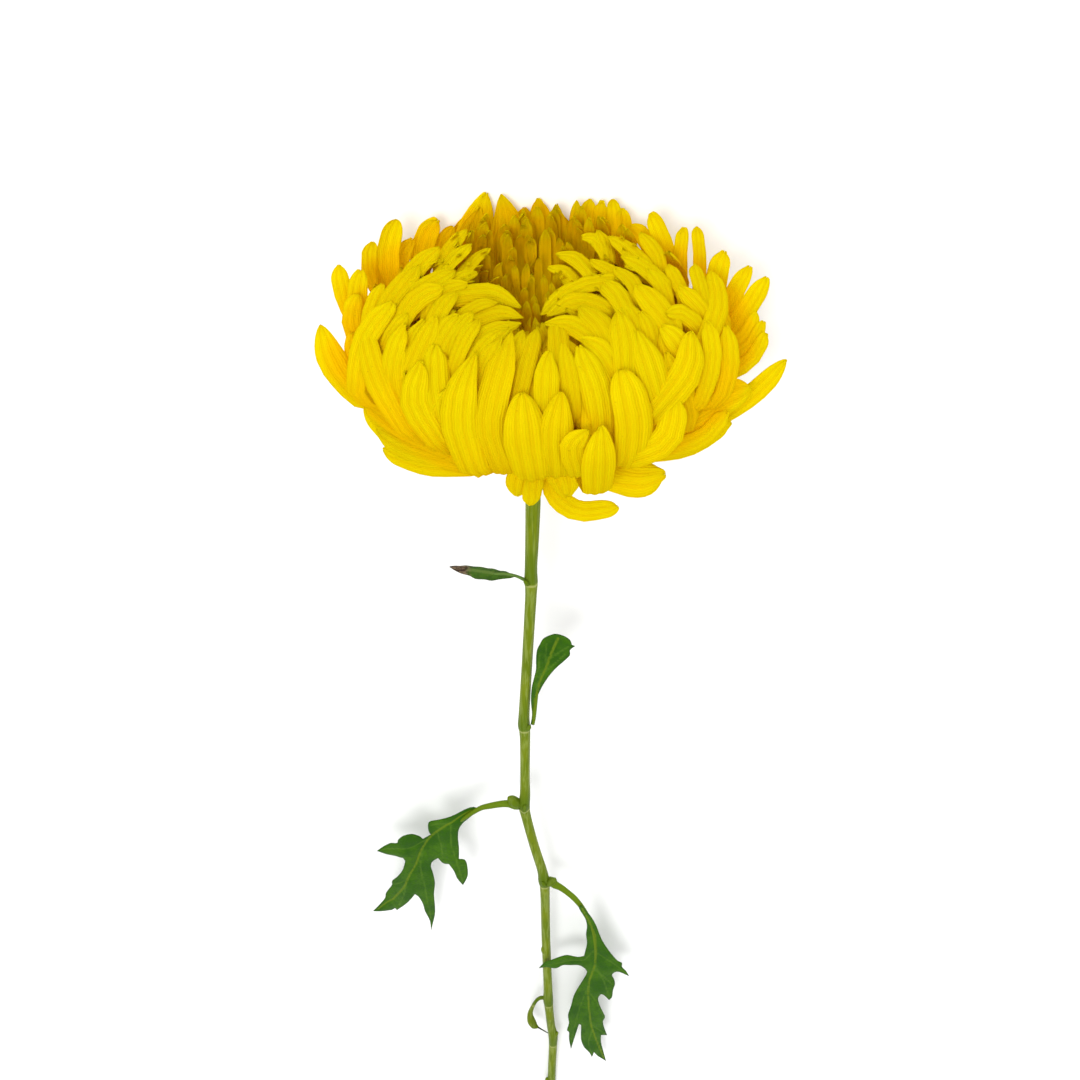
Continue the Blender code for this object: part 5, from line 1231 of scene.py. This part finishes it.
class Nodes:
    """Short ways to make shader nodes."""

    def __init__(self, name):
        self.material = bpy.data.materials.new(name)
        self.material.use_nodes = True
        self.tree = self.material.node_tree
        self.tree.nodes.clear()

    def make(self, kind, inputs=None, **settings):
        node = self.tree.nodes.new("ShaderNode" + kind)
        for key, value in settings.items():
            setattr(node, key, value)
        for key, value in (inputs or {}).items():
            if isinstance(value, bpy.types.NodeSocket):
                self.tree.links.new(value, node.inputs[key])
            else:
                node.inputs[key].default_value = value
        return node

    def value(self, name):
        return self.make("Attribute", attribute_name=name).outputs["Fac"]

    def math(self, operation, a, b=0.0):
        return self.make("Math", {0: a, 1: b}, operation=operation).outputs[0]

    def place(self):
        return self.make("TexCoord").outputs["Object"]

    def ramp(self, value, low, high, start=0.0, end=1.0):
        inputs = {"Value": value, "From Min": low, "From Max": high, "To Min": start, "To Max": end}
        return self.make("MapRange", inputs, interpolation_type="SMOOTHSTEP").outputs[0]

    def blend(self, share, a, b):
        return self.make("Mix", {0: share, 6: a, 7: b}, data_type="RGBA").outputs[2]

    def layers(self, colour, *coats):
        """A colour with others laid over it, each with its share."""
        for share, coat in coats:
            colour = self.blend(share, colour, coat)
        return colour

    def noise(self, scale, detail=3.0, rough=0.5, vector=None):
        inputs = {"Scale": scale, "Detail": detail, "Roughness": rough, "Vector": vector or self.place()}
        return self.make("TexNoise", inputs).outputs["Fac"]

    def patches(self, scale, low, high, most, detail=3.0, rough=0.5, vector=None):
        return self.ramp(self.noise(scale, detail, rough, vector), low, high, 0.0, most)

    def bump(self, strength, distance, height):
        inputs = {"Strength": strength, "Distance": distance, "Height": height}
        return self.make("Bump", inputs).outputs[0]

    def skin(self, colour, rough, bump, gloss=GREEN_GLOSS):
        inputs = {"Base Color": colour, "Roughness": rough, "Normal": bump}
        shader = self.make("BsdfPrincipled", inputs)
        shader.inputs["Specular IOR Level"].default_value = gloss
        return shader.outputs[0]

    def finish(self, shader, through=None, share=0.0):
        end = self.make("OutputMaterial")
        if through is not None:
            both = self.make("MixShader", {0: share})
            self.tree.links.new(shader, both.inputs[1])
            self.tree.links.new(through, both.inputs[2])
            shader = both.outputs[0]
        self.tree.links.new(shader, end.inputs["Surface"])
        return self.material


@cache
def material_petal():
    n = Nodes("petal_lined")
    along, across = n.value("along"), n.value("across")
    # Lemon is the petals' own colour; the darker gold towards a petal's base is painted shade, deep in the
    # bloom
    lemon, gold, painted_highlight = (0.90, 0.78, 0.001, 1), (0.90, 0.64, 0.001, 1), (0.93, 0.85, 0.002, 1)
    deep, painted_crevice_shade, ochre = (0.99, 0.86, 0.002, 1), (0.97, 0.66, 0.001, 1), (0.88, 0.69, 0.001, 1)
    blotch, painted_groove_shade, line = (0.87, 0.66, 0.001, 1), (0.80, 0.55, 0.0005, 1), (0.82, 0.52, 0.0005, 1)
    groove = n.math("COSINE", n.math("MULTIPLY", across, math.pi * RIBS))
    shown = n.ramp(along, 0.15, 0.5)
    drift = n.math("MULTIPLY", n.noise(140.0, 2.0), 6.0)
    lines = n.math("SINE", n.math("ADD", n.math("MULTIPLY", across, 38.0), drift))
    colour = n.layers(
        n.blend(n.ramp(along, 0.2, 0.75), gold, lemon),
        # Painted light: petals deep in the bowl and inner faces in shade are brightened towards a lighter
        # lemon (deep)
        (n.ramp(n.value("gold"), 0.0, 1.0, 0.0, 0.8), deep),
        (n.ramp(n.value("seed"), 0.0, 1.0, 0.0, 0.45), ochre),
        # Painted highlights: paler tips and edges
        (n.ramp(along, 0.8, 1.0, 0.0, 0.55), painted_highlight),
        (n.ramp(n.math("ABSOLUTE", across), 0.75, 1.0, 0.0, 0.5), painted_highlight),
        # Painted shade: amber where a petal lies under the skin, between other petals
        (n.ramp(n.value("sunk"), 0.0, 1.0, 0.0, 0.8), painted_crevice_shade),
        (n.patches(260.0, 0.35, 0.75, 0.3, 4.0, 0.6), blotch),
        # Painted shade: darker colour in the grooves between the ribs
        (n.math("MULTIPLY", n.ramp(groove, 0.3, -1.0, 0.0, 0.34), shown), painted_groove_shade),
        (n.ramp(lines, 0.0, 1.0, 0.0, 0.28), line),
        (n.patches(1500.0, 0.69, 0.76, 0.4, 2.0), (0.45, 0.26, 0.01, 1)))
    fine = n.noise(2600.0, 3.0, 0.55)
    height = n.math("ADD", n.math("MULTIPLY", lines, -0.5), n.math("MULTIPLY", fine, 0.6))
    bump = n.bump(0.45, 0.0003, height)
    rough = n.ramp(fine, 0.3, 0.7, 0.46, 0.62)
    through = n.make("BsdfTranslucent", {"Color": colour, "Normal": bump})
    flesh = n.make("MixShader", {0: 0.5, 1: n.skin(colour, rough, bump, 0.0), 2: through.outputs[0]})
    gloss = n.make("BsdfGlossy", {"Color": (1.0, 0.86, 0.01, 1), "Roughness": rough, "Normal": bump})
    return n.finish(flesh.outputs[0], gloss.outputs[0], 0.05)


def material_bract():
    n = Nodes("calyx_green")
    colour = n.layers(
        n.blend(n.ramp(n.value("along"), 0.0, 1.0), (0.13, 0.21, 0.012, 1), (0.19, 0.28, 0.02, 1)),
        (n.ramp(n.math("ABSOLUTE", n.value("across")), 0.55, 1.0, 0.0, 0.8), (0.40, 0.40, 0.10, 1)),
        (n.patches(600.0, 0.4, 0.7, 0.35), (0.085, 0.15, 0.01, 1)))
    fine = n.noise(1800.0)
    return n.finish(n.skin(colour, n.ramp(fine, 0.3, 0.7, 0.5, 0.68), n.bump(0.4, 0.0002, fine)))


@cache
def material_stem():
    """Finely lined green, darker over each ring, towards the bloom and where it has dried."""
    n = Nodes("stem_lined")
    place = n.place()
    long = n.make("Mapping", {"Vector": place, "Scale": (1.0, 0.06, 1.0)}).outputs[0]
    colour = n.layers(
        n.blend(n.ramp(n.noise(60.0, 2.0), 0.35, 0.65), (0.115, 0.17, 0.002, 1), (0.155, 0.205, 0.003, 1)),
        (n.patches(900.0, 0.45, 0.62, 0.6, 3.0, 0.6, long), (0.25, 0.31, 0.06, 1)),
        (n.patches(1400.0, 0.55, 0.7, 0.5, 3.0, 0.6, long), (0.06, 0.115, 0.003, 1)))
    height_up = n.make("SeparateXYZ", {0: place}).outputs[1]
    ring_heights = [(from_photo(PHOTO_SIZE / 2, row, FAR, 0.0) - ORIGIN).y * MM for row in STEM_RINGS]
    for ring in ring_heights:
        over = n.math("SUBTRACT", height_up, ring)
        shade = n.math("MULTIPLY", n.ramp(over, 0.0, 0.0012), n.ramp(over, 0.003, 0.016, 0.7, 0.0))
        colour = n.layers(
            colour, (n.ramp(n.math("ABSOLUTE", over), 0.0002, 0.0007, 0.55, 0.0), (0.42, 0.44, 0.15, 1)),
            (shade, (0.07, 0.13, 0.002, 1)))
    colour = n.layers(colour, (n.ramp(height_up, ring_heights[0], 0.23, 0.0, 0.8), (0.075, 0.14, 0.003, 1)),
                      (n.value("dry"), (0.02, 0.03, 0.008, 1)))
    fine = n.noise(2200.0)
    wave = n.math("SINE", n.math("MULTIPLY", n.value("across"), 2 * math.pi * 12))
    bump = n.bump(0.35, 0.0002, n.math("ADD", n.math("MULTIPLY", wave, 0.35), fine))
    return n.finish(n.skin(colour, n.ramp(fine, 0.3, 0.7, 0.42, 0.6), bump))


def material_leaf():
    n = Nodes("leaf_green")
    colour = n.layers(
        n.blend(n.ramp(n.noise(110.0), 0.35, 0.65), (0.028, 0.11, 0.001, 1), (0.055, 0.16, 0.002, 1)),
        (n.patches(700.0, 0.4, 0.7, 0.5, 4.0, 0.6), (0.025, 0.085, 0.008, 1)),
        (n.ramp(n.value("across"), 0.1, 0.6, 0.4, 0.0), (0.12, 0.24, 0.02, 1)),
        (n.ramp(n.value("rib"), 0.15, 0.7, 0.75, 0.0), (0.155, 0.23, 0.006, 1)),
        (n.ramp(n.value("along"), 0.0, 0.5, 0.35, 0.0), (0.02, 0.05, 0.015, 1)))
    fine = n.noise(1500.0, 4.0, 0.6)
    net = n.make("TexVoronoi", {"Vector": n.place(), "Scale": 900.0}, feature="DISTANCE_TO_EDGE")
    cells = n.math("MULTIPLY", n.ramp(net.outputs["Distance"], 0.0, 0.2), 0.6)
    bump = n.bump(0.45, 0.0002, n.math("ADD", cells, fine))
    through = n.make("BsdfTranslucent", {"Color": colour, "Normal": bump})
    return n.finish(n.skin(colour, n.ramp(fine, 0.3, 0.7, 0.42, 0.6), bump), through.outputs[0], 0.15)


def material_dry_leaf():
    """Dull green that has dried brown towards the tip."""
    n = Nodes("dry_leaf")
    right = n.make("SeparateXYZ", {0: n.place()}).outputs[0]
    ragged = n.math("ADD", right, n.math("MULTIPLY", n.noise(400.0), 0.004))
    brown = n.blend(n.ramp(n.noise(900.0), 0.4, 0.6), (0.045, 0.025, 0.02, 1), (0.19, 0.14, 0.09, 1))
    colour = n.layers(
        n.blend(n.ramp(n.noise(300.0), 0.35, 0.65), (0.035, 0.09, 0.012, 1), (0.06, 0.15, 0.015, 1)),
        (n.ramp(n.value("rib"), 0.2, 0.8, 0.6, 0.0), (0.16, 0.26, 0.06, 1)),
        (n.ramp(ragged, -0.0235, -0.0205, 1.0, 0.0), brown),
        (n.ramp(n.value("along"), 0.0, 0.6, 0.5, 0.0), (0.03, 0.04, 0.015, 1)))
    fine = n.noise(1600.0, 4.0, 0.6)
    return n.finish(n.skin(colour, n.ramp(fine, 0.3, 0.7, 0.6, 0.8), n.bump(0.6, 0.0003, fine)))


def stage():
    floor_mesh = bpy.data.meshes.new("floor")
    work = bmesh.new()
    bmesh.ops.create_grid(work, x_segments=1, y_segments=1, size=FLOOR_HALF)
    work.to_mesh(floor_mesh)
    work.free()
    floor = bpy.data.objects.new("floor", floor_mesh)
    bpy.context.scene.collection.objects.link(floor)
    n = Nodes("pale_floor")
    tone = n.ramp(n.noise(3.0, 2.0), 0.3, 0.7, 0.0, 1.0)
    colour = n.blend(tone, (0.95, 0.95, 0.95, 1), (0.97, 0.97, 0.97, 1))
    shader = n.make("BsdfPrincipled", {"Base Color": colour, "Roughness": 0.9})
    floor_mesh.materials.append(n.finish(shader.outputs[0]))

    world = bpy.data.worlds.new("studio")
    bpy.context.scene.world = world
    world.use_nodes = True
    background = world.node_tree.nodes["Background"]
    background.inputs["Color"].default_value = (1, 1, 1, 1)
    background.inputs["Strength"].default_value = WORLD_LIGHT
    for name, place, size, power in LAMPS:
        light = bpy.data.lights.new(name, "AREA")
        light.shape = "SQUARE"
        light.size = size
        light.energy = power
        ob = bpy.data.objects.new(name, light)
        bpy.context.scene.collection.objects.link(ob)
        ob.location = place
        ob.rotation_euler = (AIM - ob.location).to_track_quat("-Z", "Y").to_euler()
    bpy.context.scene.view_settings.view_transform = "Standard"


def camera():
    eye, view, up, right, focal = PHOTO
    data = bpy.data.cameras.new("photo_camera")
    data.sensor_width = SENSOR
    data.lens = SENSOR * focal / PHOTO_SIZE
    data.clip_start = 0.01
    ob = bpy.data.objects.new("photo_camera", data)
    bpy.context.scene.collection.objects.link(ob)
    place = Matrix((right, up, -view)).transposed().to_4x4()
    place.translation = (eye - ORIGIN) * MM
    ob.matrix_world = place
    bpy.context.scene.camera = ob


camera()
stage()
build_bloom()
build_core()
build_calyx()
build_stem()
build_leaves()
build_side_shoot()
